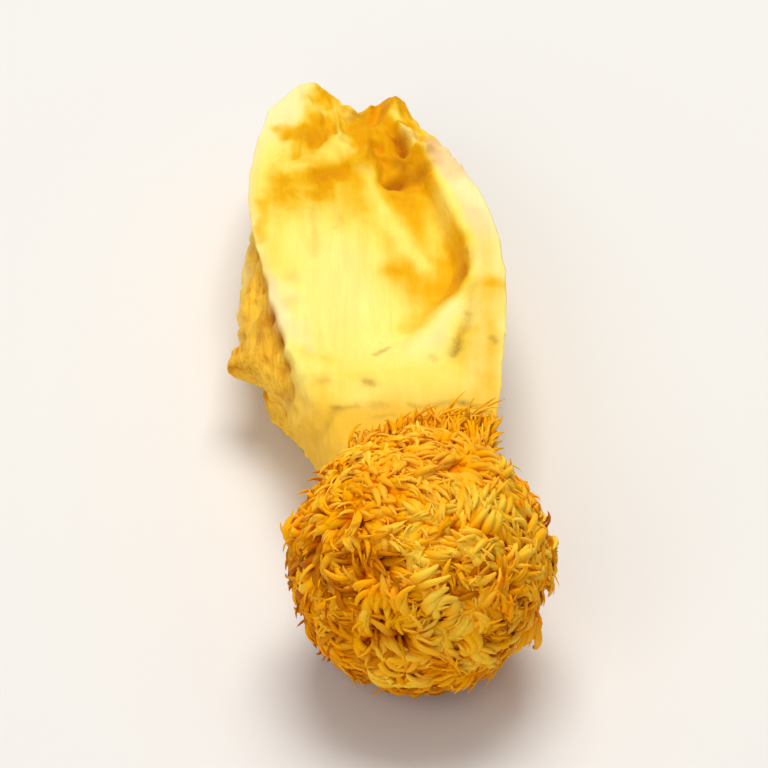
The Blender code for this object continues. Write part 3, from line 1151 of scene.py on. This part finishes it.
    def creamed(self, x: float, y: float, section: Section) -> float:
        """Finds how creamy the cut is: on its rim, its left edge and left lobe, and where it is stained.

        Args:
            x: The place across.
            y: The place along.
            section: The section there.

        Returns:
            The share of cream, which may be over 1.
        """
        rim = (1 - smooth_step(section.rim - x, -0.9, -0.1)) * smooth_step(y, *self.cream_rim_near)
        rim *= 1 - smooth_step(y, *self.cream_rim_far)
        rim *= 0.65 + 0.35 * smooth_step(y, *self.cream_rim_strong)
        line = self.pale_line * (1 - smooth_step(x - section.cut_left, *self.pale_line_width))
        line *= smooth_step(y, *self.pale_line_from)
        lobe = self.pale_lobe * self.paled_lobe(x, y, section)
        return max(rim, lobe, line) + laid(self.cream_stains, self.strayed(x, y))

    def marks(self, x: float, y: float, section: Section) -> dict[Mark, float]:
        """What a point of the cut carries for its colour.

        Args:
            x: The place across.
            y: The place along.
            section: The section there.

        Returns:
            A value from 0 to 1 for each mark.
        """
        place = self.strayed(x, y, self.feature_stray)
        to_side = self.strayed(x, y)[0] - x
        neck = self.neck_gold * (1 - smooth_step(y + 0.25 * to_side, *self.neck_gold_fade))
        values = {
            Mark.OCHRE: self.ochred(x, y, section),
            Mark.CREAM: self.creamed(x, y, section),
            Mark.BROWN: laid(self.fold_and_pit_shade, place),
            Mark.SPOT: laid(self.spots, place),
            Mark.NECK: neck * (1 - self.neck_pale.at(x, y)),
        }
        return {mark: held(value) for mark, value in values.items()}

    def lay_rings(self, mesh: bmesh.types.BMesh, layers: dict[Mark, bmesh.types.BMLayerItem]) -> None:
        """Moves a sphere's points onto the stalk, and gives them what they carry.

        Args:
            mesh: The sphere, of radius 1.
            layers: Where the mesh keeps each mark.
        """
        known: dict[float, tuple[float, float, Section]] = {}
        first, last = self.sections[0].along, self.sections[-1].along
        for vert in mesh.verts:
            share = math.acos(min(1.0, max(-1.0, vert.co.z))) / math.pi
            angle = math.atan2(vert.co.y, vert.co.x) % math.tau
            angle += self.crowding * math.sin(angle)
            key = round(share, 5)
            if key not in known:
                y, size = self.place(share)
                known[key] = (y, size, self.section(min(max(y, first), last)))
            y, size, section = known[key]
            vert.co, on_cut = self.point(angle, y, size, section)
            for mark, value in self.marks(vert.co.x, vert.co.y, section).items():
                vert[layers[mark]] = value
            # Painted shade in the cut's folds and pits, and in the skin's dents and under the cut's edge.
            vert[layers[Mark.BROWN]] *= on_cut
            vert[layers[Mark.BROWN]] += (1 - on_cut) * self.nicked(vert.co, section)[1]
            vert[layers[Mark.CUT]] = max(on_cut, self.paled(vert.co, section))

    def press_fibres(self, mesh: bmesh.types.BMesh, layers: dict[Mark, bmesh.types.BMLayerItem]) -> None:
        """Moves the stalk's points in and out by its fibres and its grain.

        Args:
            mesh: The stalk.
            layers: Where the mesh keeps each mark.
        """
        moves = []
        for vert in mesh.verts:
            x, y, z = vert.co
            on_skin = 1 - vert[layers[Mark.CUT]]
            fibre = self.fibre_height * noise.noise(Vector((x * 1.7, y * 0.13, z * 1.7)))
            fibre += self.thread_height * noise.noise(Vector((x * 4.2, y * 0.3, z * 4.2)))
            grain = noise.noise(Vector((x * 1.1, y * 0.9, z * 1.1)))
            grain *= self.grain_height + self.skin_grain_height * on_skin
            moves.append(fibre * (0.7 + 0.3 * on_skin) + grain)
        for vert, move in zip(mesh.verts, moves):
            # Where the points sink, the skin gets painted shade.
            vert[layers[Mark.HOLLOW_SHADE]] = held(-3 * move)
            vert.co += vert.normal * move
            vert.co.z = max(vert.co.z, 0.0)

    def build(self) -> bpy.types.Object:
        """Lays a sphere's rings on the sections, smooths the corners and presses the fine fibres in.

        Returns:
            The piece.
        """
        mesh = bmesh.new()
        bmesh.ops.create_uvsphere(mesh, u_segments=self.around, v_segments=self.rings, radius=1)
        layers = {
            mark: mesh.verts.layers.float.new(mark.value) for mark in Mark if mark not in TOOTH_MARKS
        }
        self.lay_rings(mesh, layers)
        bmesh.ops.recalc_face_normals(mesh, faces=mesh.faces[:])
        axes = {"use_axis_x": True, "use_axis_y": True, "use_axis_z": True}
        for _ in range(2):
            bmesh.ops.smooth_vert(mesh, verts=mesh.verts[:], factor=0.5, **axes)
        mesh.normal_update()
        self.press_fibres(mesh, layers)
        return kept_piece(self.name, mesh, self.finish.material())


@dataclass(frozen=True)
class Curl:
    """How a tooth bends, in degrees from straight out, with its length, its tint and its brightness."""

    lean_from: float
    lean_to: float
    twist: float
    length: float
    tint: float
    bright: float

    def varied(self, draw: random.Random) -> Curl:
        """Bends another tooth of the same tuft.

        Args:
            draw: Gives the random numbers.

        Returns:
            A curl much like this one.
        """
        return Curl(
            self.lean_from + draw.gauss(0, 9),
            self.lean_to + draw.gauss(0, 14),
            self.twist + draw.gauss(0, 20),
            self.length * draw.uniform(0.8, 1.12),
            held(self.tint + draw.gauss(0, 0.09)),
            self.bright,
        )


@dataclass(frozen=True)
class Growth:
    """How teeth grow at a place: their share of the usual size, how bright, and how far pressed down."""

    size: float
    bright: float
    pressed: float


@dataclass
class Teeth:
    """A kind of tooth, drawn as a tapering ribbed tube, and how its tufts grow."""

    width: float
    length: float
    in_tuft: int
    spread: float
    sides: int = 5
    rings: int = 7
    lean: tuple[float, float] = (24.0, 122.0)
    lean_spread: float = 18.0
    press: float = 28.0
    twist: float = 75.0
    flatness: float = 0.8
    sunk: float = 0.25
    lowest: float = 0.02
    girth: tuple[float, ...] = (0.78, 0.98, 1.0, 0.94, 0.82, 0.64, 0.36)
    points: list[Vector] = field(default_factory=list)
    faces: list[list[int]] = field(default_factory=list)
    marks: list[tuple[float, float, float]] = field(default_factory=list)

    def girth_at(self, along: float) -> float:
        """Finds how thick a tooth is.

        Args:
            along: The share of its length, from its foot.

        Returns:
            Its girth there, as a share of the usual.
        """
        spot = along * (len(self.girth) - 1)
        low = min(int(spot), len(self.girth) - 2)
        return self.girth[low] + (self.girth[low + 1] - self.girth[low]) * (spot - low)

    def grow_tuft(
        self, base: Vector, outward: Vector, towards: Vector, growth: Growth, draw: random.Random
    ) -> None:
        """Grows some teeth side by side, which bend alike.

        Args:
            base: Where the tuft grows.
            outward: The surface's direction there.
            towards: The direction along the surface that the teeth lean.
            growth: How they grow there.
            draw: Gives the random numbers.
        """
        usual = Curl(
            self.lean[0] + self.lean_spread * draw.uniform(-1, 1) + self.press * growth.pressed,
            self.lean[1] + self.lean_spread * draw.uniform(-1, 1),
            self.twist * draw.uniform(-1, 1),
            self.length * growth.size * draw.uniform(0.8, 1.2),
            draw.random(),
            held(growth.bright + draw.gauss(0, 0.14)),
        )
        across = outward.cross(towards)
        for _ in range(self.in_tuft):
            beside = across * draw.uniform(-1, 1) + towards * draw.uniform(-1, 1)
            self.grow(base + beside * self.spread, outward, towards, usual.varied(draw), growth.size, draw)

    def grow(
        self, base: Vector, outward: Vector, towards: Vector, curl: Curl, size: float, draw: random.Random
    ) -> None:
        """Grows a tooth.

        Args:
            base: Where it grows.
            outward: The surface's direction there.
            towards: The direction along the surface that it leans.
            curl: How it bends.
            size: Its girth, as a share of the usual.
            draw: Gives the random numbers.
        """
        half = self.width / 2 * (0.5 + 0.5 * size) * draw.uniform(0.7, 1.25)
        ribs = [draw.uniform(0.72, 1.12) for _ in range(self.sides)]
        start = len(self.points)
        place = base - outward * self.sunk
        step = curl.length / (self.rings - 1)
        for ring in range(self.rings):
            along = ring / (self.rings - 1)
            lean = math.radians(curl.lean_from + (curl.lean_to - curl.lean_from) * along)
            heading = Matrix.Rotation(math.radians(curl.twist) * along, 3, outward) @ towards
            direction = outward * math.cos(lean) + heading * math.sin(lean)
            side = outward.cross(heading).normalized()
            top = side.cross(direction)
            radius = half * self.girth_at(along)
            for corner, rib in enumerate(ribs):
                turn = math.tau * corner / self.sides
                spot = side * math.cos(turn) + top * self.flatness * math.sin(turn)
                self.add_point(place + spot * radius * rib, along, curl)
            place = place + direction * step
        self.add_point(place - direction * step * 0.5, 1.0, curl)
        for first in range(start, start + (self.rings - 1) * self.sides, self.sides):
            for corner in range(self.sides):
                after = (corner + 1) % self.sides
                self.faces.append(
                    [first + corner, first + after, first + self.sides + after, first + self.sides + corner]
                )
        final = start + (self.rings - 1) * self.sides
        for corner in range(self.sides):
            self.faces.append([final + corner, final + (corner + 1) % self.sides, len(self.points) - 1])
        self.faces.append([start + corner for corner in reversed(range(self.sides))])

    def add_point(self, place: Vector, along: float, curl: Curl) -> None:
        """Adds a point, not lower than the surface that the piece lies on."""
        self.points.append(Vector((place.x, place.y, max(place.z, self.lowest))))
        self.marks.append((along, curl.tint, curl.bright))

    def kept(self, name: str, material: bpy.types.Material) -> bpy.types.Object:
        """Joins all that has grown in one piece, and starts anew.

        Args:
            name: The piece's name.
            material: Its finish.

        Returns:
            The piece.
        """
        data = bpy.data.meshes.new(name + "_lists")
        data.from_pydata(self.points, [], self.faces)
        mesh = bmesh.new()
        mesh.from_mesh(data)
        bpy.data.meshes.remove(data)
        layers = [mesh.verts.layers.float.new(mark.value) for mark in TOOTH_MARKS]
        for vert, values in zip(mesh.verts, self.marks):
            for layer, value in zip(layers, values):
                vert[layer] = value
        bmesh.ops.recalc_face_normals(mesh, faces=mesh.faces[:])
        self.points, self.faces, self.marks = [], [], []
        return kept_piece(name, mesh, material)


@dataclass(frozen=True)
class Bulge:
    """A round swelling of the head in a direction from its middle."""

    towards: tuple[float, float, float]
    height: float

    def at(self, direction: Vector) -> float:
        """Its height in another direction."""
        return self.height * max(0.0, direction.dot(Vector(self.towards).normalized())) ** 3


@dataclass(frozen=True)
class Tone:
    """A brighter or darker place on the head, in a direction from its middle."""

    towards: tuple[float, float, float]
    width: float
    amount: float

    def at(self, direction: Vector) -> float:
        """How much brighter it makes the teeth in another direction."""
        return self.amount * hill((direction - Vector(self.towards)).length, self.width)


@dataclass(frozen=True)
class WispRow:
    """A row of thin tufts on the neck's cut face."""

    start: tuple[float, float]
    end: tuple[float, float]
    count: int


@dataclass
class Head:
    """The round head: a lumpy core under a thick coat of short curled teeth."""

    core_name: str = "head_core"
    radius: float = 8.6
    height: float = 9.9
    lumps: float = 0.4
    lock_height: float = 0.45
    lock_waves: tuple[float, float] = (0.27, 0.5)
    lock_middle: float = 0.6
    bulges: tuple[Bulge, ...] = (
        Bulge((0.38, -0.75, -0.3), 0.1),
        Bulge((0.15, 0.62, 0.74), 0.5),
        Bulge((-0.9, 0.1, 0.1), 0.3),
        Bulge((0.85, -0.2, -0.2), 0.5),
    )
    # Brighter and darker places on the head: mostly painted highlights and painted shade.
    tones: tuple[Tone, ...] = (
        Tone((-0.49, -0.62, 0.62), 0.22, -0.3),
        Tone((-0.67, -0.49, 0.56), 0.20, -0.2),
        Tone((0.50, -0.45, 0.74), 0.12, 0.45),
        Tone((0.81, -0.20, 0.55), 0.12, 0.45),
        Tone((0.24, -0.73, 0.64), 0.14, 0.50),
        Tone((0.02, -0.81, 0.59), 0.14, 0.45),
        Tone((0.36, -0.85, 0.39), 0.14, 0.40),
        Tone((0.12, -0.99, 0.01), 0.14, 0.60),
        Tone((0.43, -0.89, -0.18), 0.09, 0.50),
        Tone((0.28, -0.66, -0.70), 0.25, -0.40),
        Tone((-0.28, -0.93, -0.25), 0.15, -0.30),
        Tone((0.62, -0.78, -0.12), 0.16, -0.40),
        Tone((-0.18, -0.10, 0.98), 0.12, 0.40),
        Tone((0.05, -0.09, 1.00), 0.12, 0.50),
        Tone((-0.80, -0.57, 0.19), 0.10, 0.70),
        Tone((-0.20, -0.85, 0.49), 0.07, -0.50),
        Tone((0.49, -0.78, 0.40), 0.07, -0.40),
    )
    core_fineness: int = 6
    core_depth: float = 0.3
    core_bumps: float = 0.25
    core_tint: float = 0.3
    core_bright: float = 0.4
    count: int = 1300
    fine_count: int = 1250
    collar_count: int = 330
    side_collar_count: int = 160
    collar_from: tuple[float, float] = (7.6, 9.6)
    side_collar_from: tuple[float, float] = (5.6, 7.4)
    side_collar_turn: tuple[float, float] = (0.84, 2.16)
    foot: float = 0.8
    neck_room: float = 0.5
    coat: Teeth = field(
        default_factory=lambda: Teeth(
            width=0.66, length=2.5, in_tuft=4, spread=0.4, lean=(38.0, 138.0), twist=95.0
        )
    )
    fine: Teeth = field(
        default_factory=lambda: Teeth(
            width=0.36, length=2.2, in_tuft=2, spread=0.5, rings=6, lean=(30.0, 112.0), twist=50.0
        )
    )
    curls: Teeth = field(
        default_factory=lambda: Teeth(
            width=0.82, length=3.2, in_tuft=3, spread=0.45, rings=9, lean=(34.0, 150.0), twist=130.0
        )
    )
    wisp: Teeth = field(
        default_factory=lambda: Teeth(
            width=0.26, length=3.2, in_tuft=2, spread=0.3, lean=(45.0, 108.0), lean_spread=8.0, twist=30.0
        )
    )
    wisps: tuple[WispRow, ...] = (
        WispRow((-2.2, 11.6), (1.2, 12.8), 8),
        WispRow((1.2, 12.8), (3.8, 12.4), 6),
    )
    curl_count: int = 420
    # How much brighter the curls get higher up: painted light.
    curl_bright: float = 0.7
    seed: int = 11
    finish: ToothFinish = field(default_factory=ToothFinish)

    @property
    def centre(self) -> Vector:
        """The middle of the head."""
        return Vector((0, 0, self.height))

    def lock(self, direction: Vector) -> float:
        """Finds how far teeth are matted in a raised lock.

        Args:
            direction: Their direction from the head's middle.

        Returns:
            A share from 0 to 1.
        """
        wide, tall = self.lock_waves
        place = direction * self.radius
        return ridges(Vector((place.x * wide, place.y * wide, place.z * tall)) + drift(place * 0.5) * 0.4)

    def core_point(self, direction: Vector) -> Vector:
        """Finds a point of the core.

        Args:
            direction: Its direction from the head's middle.

        Returns:
            The point.
        """
        lumps = self.lumps * noise.noise(direction * self.radius * 0.22)
        lumps += self.lock_height * (self.lock(direction) - self.lock_middle)
        lumps += sum(bulge.at(direction) for bulge in self.bulges)
        return self.centre + direction * (self.radius + lumps)

    def build_core(self, material: bpy.types.Material) -> bpy.types.Object:
        """Builds the core that shows between the teeth.

        Args:
            material: Its finish.

        Returns:
            The piece.
        """
        mesh = bmesh.new()
        bmesh.ops.create_icosphere(mesh, subdivisions=self.core_fineness, radius=1)
        layers = [mesh.verts.layers.float.new(mark.value) for mark in TOOTH_MARKS]
        for vert in mesh.verts:
            direction = vert.co.normalized()
            bumps = self.core_bumps * ridges(direction * 9)
            vert.co = self.core_point(direction) + direction * (bumps - self.core_depth)
            vert.co.z = max(vert.co.z, 0.0)
            # The core takes the roots' colour, lighter on its bumps' crests: painted shade in its valleys.
            for layer, value in zip(layers, (0.12 + 0.2 * bumps, self.core_tint, self.core_bright)):
                vert[layer] = value
        return kept_piece(self.core_name, mesh, material)

    def leaning(self, place: Vector, outward: Vector, draw: random.Random) -> Vector:
        """The direction along the surface that a tooth leans, much as its neighbours do.

        Args:
            place: Where it grows.
            outward: The surface's direction there.
            draw: Gives the random numbers.

        Returns:
            A unit vector along the surface.
        """
        swirl = drift(place * 0.13) * 1.3 + drift(place * 0.45) * 0.9
        swirl += Vector((draw.uniform(-1, 1), draw.uniform(-1, 1), draw.uniform(-1, 1))) * 0.35
        swirl.x += 2.6 * noise.noise(place * 0.28 + Vector((0, 0, 4))) * smooth_step(-place.y, -2, 5)
        swirl.z -= 0.6 * smooth_step(self.height - place.z, -1, 6)
        swirl.y += 1.2 * smooth_step(place.y, 4, 8)
        flat = swirl - outward * swirl.dot(outward)
        return flat.normalized()

    def growth(self, place: Vector) -> Growth:
        """Finds how teeth grow: smooth on top, bright on top and on the raised locks with painted light,
        and browner low down and on the left with painted shade, partly their own darker foot.

        Args:
            place: Where they grow.

        Returns:
            Their growth, with the head's own tones in it.
        """
        low = 1 - smooth_step(place.z + 0.2 * place.x, 1.0, 6.0)
        high = smooth_step(place.z + 0.25 * place.y, 11.0, 18.0)
        left = smooth_step(-place.x, 1.0, 8.0) * (1 - 0.5 * high)
        right = smooth_step(place.x, 3.0, 8.0)
        patches = noise.noise(place * 0.22 + Vector((5, 0, 0)))
        direction = (place - self.centre).normalized()
        # Painted light on top, on the right and on the raised locks. Painted shade low down, on the left
        # and between the locks.
        bright = 0.45 - 0.47 * low + 0.35 * high - 0.28 * left + 0.05 * right
        bright += 0.1 * patches + 0.5 * (self.lock(direction) - self.lock_middle)
        bright += sum(tone.at(direction) for tone in self.tones)
        size = 0.98 + 0.2 * noise.noise(place * 0.25) - 0.12 * high
        size -= 0.1 * smooth_step(abs(place.x), 5.0, 8.5)
        return Growth(size, held(bright), min(1.0, 0.9 * high + 0.5 * left + 0.5 * right))

    def curly(self, place: Vector) -> bool:
        """Whether bright curled tufts stand out at a place: most of all in front and on the right."""
        patches = noise.noise(place * 0.3 + Vector((0, 9, 0)))
        return patches + 0.05 * place.x - 0.05 * place.y > -0.15 and place.z > 5.0

    def grow_coat(
        self, teeth: Teeth, count: int, seed: int, wanted: Callable[[Vector], bool], stalk: Stalk
    ) -> None:
        """Grows the teeth of one kind in a region of the head.

        Args:
            teeth: The kind of tooth.
            count: How many tufts grow on the whole head.
            seed: What the random numbers start from.
            wanted: Whether a place is in the region.
            stalk: The stalk, whose neck stays bare.
        """
        draw = random.Random(seed)
        for index in range(count):
            height = 1 - 2 * (index + 0.5) / count
            turn = index * GOLDEN_ANGLE
            ring = math.sqrt(1 - height * height)
            direction = Vector((ring * math.cos(turn), ring * math.sin(turn), height))
            direction = (direction + drift(direction * 23) * 0.06).normalized()
            place = self.core_point(direction)
            if place.z < self.foot or self.in_neck(place, stalk) or not wanted(place):
                continue
            growth = self.growth(place)
            # Curls are painted brighter higher up.
            if teeth is self.curls:
                extra = self.curl_bright * smooth_step(place.z, 3.0, 8.0) * draw.random()
                growth = Growth(growth.size, min(1.0, growth.bright + extra), growth.pressed)
            teeth.grow_tuft(place, direction, self.leaning(place, direction, draw), growth, draw)

    def grow_collar(self, stalk: Stalk, draw: random.Random) -> None:
        """Grows fine teeth on the neck's cut face beside the head, most of all at its right edge.

        Args:
            stalk: The stalk.
            draw: Gives the random numbers.
        """
        for _ in range(self.collar_count):
            section = stalk.section(draw.uniform(*self.collar_from))
            across = draw.random() ** 0.75
            x = section.cut_left + (section.cut_right - section.cut_left) * across
            climb = 1.3 * smooth_step(across, -0.1, 0.3) + 2.3 * smooth_step(across, 0.2, 0.7)
            climb -= 0.8 * smooth_step(across, 0.8, 1.0)
            y = section.along + climb * draw.random()
            place = Vector((x, y, stalk.section(y).cut - 0.2))
            towards = Vector((draw.uniform(-0.6, 0.6), 1.0, 0.0)).normalized()
            growth = Growth(draw.uniform(0.8, 1.3), draw.uniform(0.2, 0.65), 0.6)
            self.fine.grow_tuft(place, Vector((0.0, -0.5, 1.0)).normalized(), towards, growth, draw)

    def grow_side_collar(self, stalk: Stalk, draw: random.Random) -> None:
        """Grows fine teeth round the neck's sides and belly, where the head begins.

        Args:
            stalk: The stalk.
            draw: Gives the random numbers.
        """
        for _ in range(self.side_collar_count):
            section = stalk.section(draw.uniform(*self.side_collar_from))
            angle = draw.uniform(*self.side_collar_turn) * math.pi
            place, _ = stalk.point(angle, section.along, 1.0, section)
            outward = Vector((place.x - section.middle.x, 0, place.z - section.middle.y)).normalized()
            place -= outward * 0.2
            outward = (outward - Vector((0.0, 0.4, 0.0))).normalized()
            towards = Vector((draw.uniform(-0.5, 0.5), 1.0, draw.uniform(-0.5, 0.5))).normalized()
            towards = (towards - outward * towards.dot(outward)).normalized()
            growth = Growth(draw.uniform(0.7, 1.1), draw.uniform(0.1, 0.7), 0.4)
            self.fine.grow_tuft(place, outward, towards, growth, draw)

    def grow_wisps(self, stalk: Stalk) -> None:
        """Grows a few long thin teeth that lie across the neck's cut face.

        Args:
            stalk: The stalk.
        """
        draw = random.Random(self.seed + 5)
        for row in self.wisps:
            for _ in range(row.count):
                between = Vector(row.start).lerp(Vector(row.end), draw.random())
                x, y = between + Vector((0, draw.gauss(0, 0.2)))
                place = Vector((x, y, stalk.section(y).cut - 0.3))
                towards = Vector((1.0, draw.uniform(0.3, 0.9), 0.0)).normalized()
                self.wisp.grow_tuft(place, Vector((0.0, 0.0, 1.0)), towards, Growth(1.0, 0.4, 0.0), draw)

    def in_neck(self, place: Vector, stalk: Stalk) -> bool:
        """Finds whether the stalk covers a place on the head.

        Args:
            place: The place.
            stalk: The stalk.

        Returns:
            Whether it does.
        """
        if place.y < stalk.sections[0].along:
            return False
        section = stalk.section(place.y)
        if not section.under < place.z < section.cut:
            return False
        side = section.under + (section.cut - section.under) * stalk.side_height_share
        left, right = section.left, section.right
        if place.z > side:
            inward = 1 - math.sqrt(1 - ((place.z - side) / (section.cut - side)) ** 2)
            left += (section.cut_left - left) * inward
            right += (section.cut_right - right) * inward
        else:
            inward = 1 - math.sqrt(1 - ((side - place.z) / (side - section.under)) ** 2)
            left += (section.middle.x - left) * inward
            right += (section.middle.x - right) * inward
        return left + self.neck_room < place.x < right - self.neck_room

    def build(self, stalk: Stalk) -> list[bpy.types.Object]:
        """Builds the core and its coat of teeth.

        Args:
            stalk: The stalk that the head grows on.

        Returns:
            The pieces.
        """
        material = self.finish.material()
        pieces = [self.build_core(material)]
        halves: dict[str, Callable[[Vector], bool]] = {
            "teeth_upper": lambda place: place.z >= self.height,
            "teeth_lower": lambda place: place.z < self.height,
        }
        for seed, (name, wanted) in enumerate(halves.items(), self.seed):
            self.grow_coat(self.coat, self.count, seed, wanted, stalk)
            pieces.append(self.coat.kept(name, material))
        self.grow_coat(self.curls, self.curl_count, self.seed + 4, self.curly, stalk)
        pieces.append(self.curls.kept("teeth_curled", material))
        self.grow_coat(self.fine, self.fine_count, self.seed + 2, lambda place: True, stalk)
        draw = random.Random(self.seed + 3)
        self.grow_collar(stalk, draw)
        self.grow_side_collar(stalk, draw)
        pieces.append(self.fine.kept("teeth_fine", material))
        self.grow_wisps(stalk)
        pieces.append(self.wisp.kept("neck_wisps", material))
        return pieces


@dataclass
class Studio:
    """A plain pale floor, soft light from above, and a camera at the photograph's viewing angle."""

    floor_size: float = 4000.0
    eye: tuple[float, float, float] = (0.0, -336.9, 288.4)
    aim: tuple[float, float, float] = (-0.6, -0.5, 6.5)
    lens: float = 270.0
    sky: tuple[float, ...] = (0.95, 0.97, 1.0, 1.0)
    sky_strength: float = 0.32
    key_at: tuple[float, float, float] = (15.0, 120.0, 415.0)
    key_size: float = 260.0
    key_power: float = 1.5
    fill_at: tuple[float, float, float] = (-190.0, -360.0, 280.0)
    fill_size: float = 400.0
    fill_power: float = 0.8
    finish: FloorFinish = field(default_factory=FloorFinish)

    def build(self) -> None:
        """Builds the studio."""
        self.build_floor()
        self.build_light("key", self.key_at, self.key_size, self.key_power)
        self.build_light("fill", self.fill_at, self.fill_size, self.fill_power)
        self.build_sky()
        self.build_camera()

    def build_floor(self) -> None:
        """Lays the floor at the mushroom's lowest point."""
        mesh = bmesh.new()
        bmesh.ops.create_grid(mesh, x_segments=1, y_segments=1, size=self.floor_size * MM)
        data = bpy.data.meshes.new("floor")
        mesh.to_mesh(data)
        mesh.free()
        data.materials.append(self.finish.material())
        floor = bpy.data.objects.new("floor", data)
        bpy.context.scene.collection.objects.link(floor)

    def build_light(self, name: str, at: Sequence[float], size: float, power: float) -> None:
        """Hangs a square soft light that looks at the mushroom.

        Args:
            name: The light's name.
            at: Its place.
            size: Its side.
            power: Its power in watts.
        """
        light = bpy.data.lights.new(name, "AREA")
        light.shape = "SQUARE"
        light.size = size * MM
        light.energy = power
        lamp = bpy.data.objects.new(name, light)
        lamp.location = Vector(at) * MM
        lamp.rotation_euler = (-Vector(at)).to_track_quat("-Z", "Y").to_euler()
        bpy.context.scene.collection.objects.link(lamp)

    def build_sky(self) -> None:
        """Lights the world evenly."""
        world = bpy.data.worlds.new("studio")
        world.use_nodes = True
        background = world.node_tree.nodes["Background"]
        background.inputs["Color"].default_value = self.sky
        background.inputs["Strength"].default_value = self.sky_strength
        bpy.context.scene.world = world

    def build_camera(self) -> None:
        """Sets the camera at the photograph's viewing angle, so that the mushroom fills the frame."""
        camera = bpy.data.cameras.new("camera")
        camera.lens = self.lens
        camera.clip_start = 0.01
        view = bpy.data.objects.new("camera", camera)
        view.location = Vector(self.eye) * MM
        view.rotation_euler = (Vector(self.aim) - Vector(self.eye)).to_track_quat("-Z", "Y").to_euler()
        bpy.context.scene.collection.objects.link(view)
        bpy.context.scene.camera = view


def main() -> None:
    """Builds the mushroom's pieces and the studio."""
    logging.basicConfig(level=logging.INFO, format="%(name)s: %(message)s")
    scene = bpy.context.scene
    scene.view_settings.view_transform = "Standard"
    stalk = Stalk()
    stalk.build()
    Head().build(stalk)
    Studio().build()


if __name__ == "__main__":
    main()
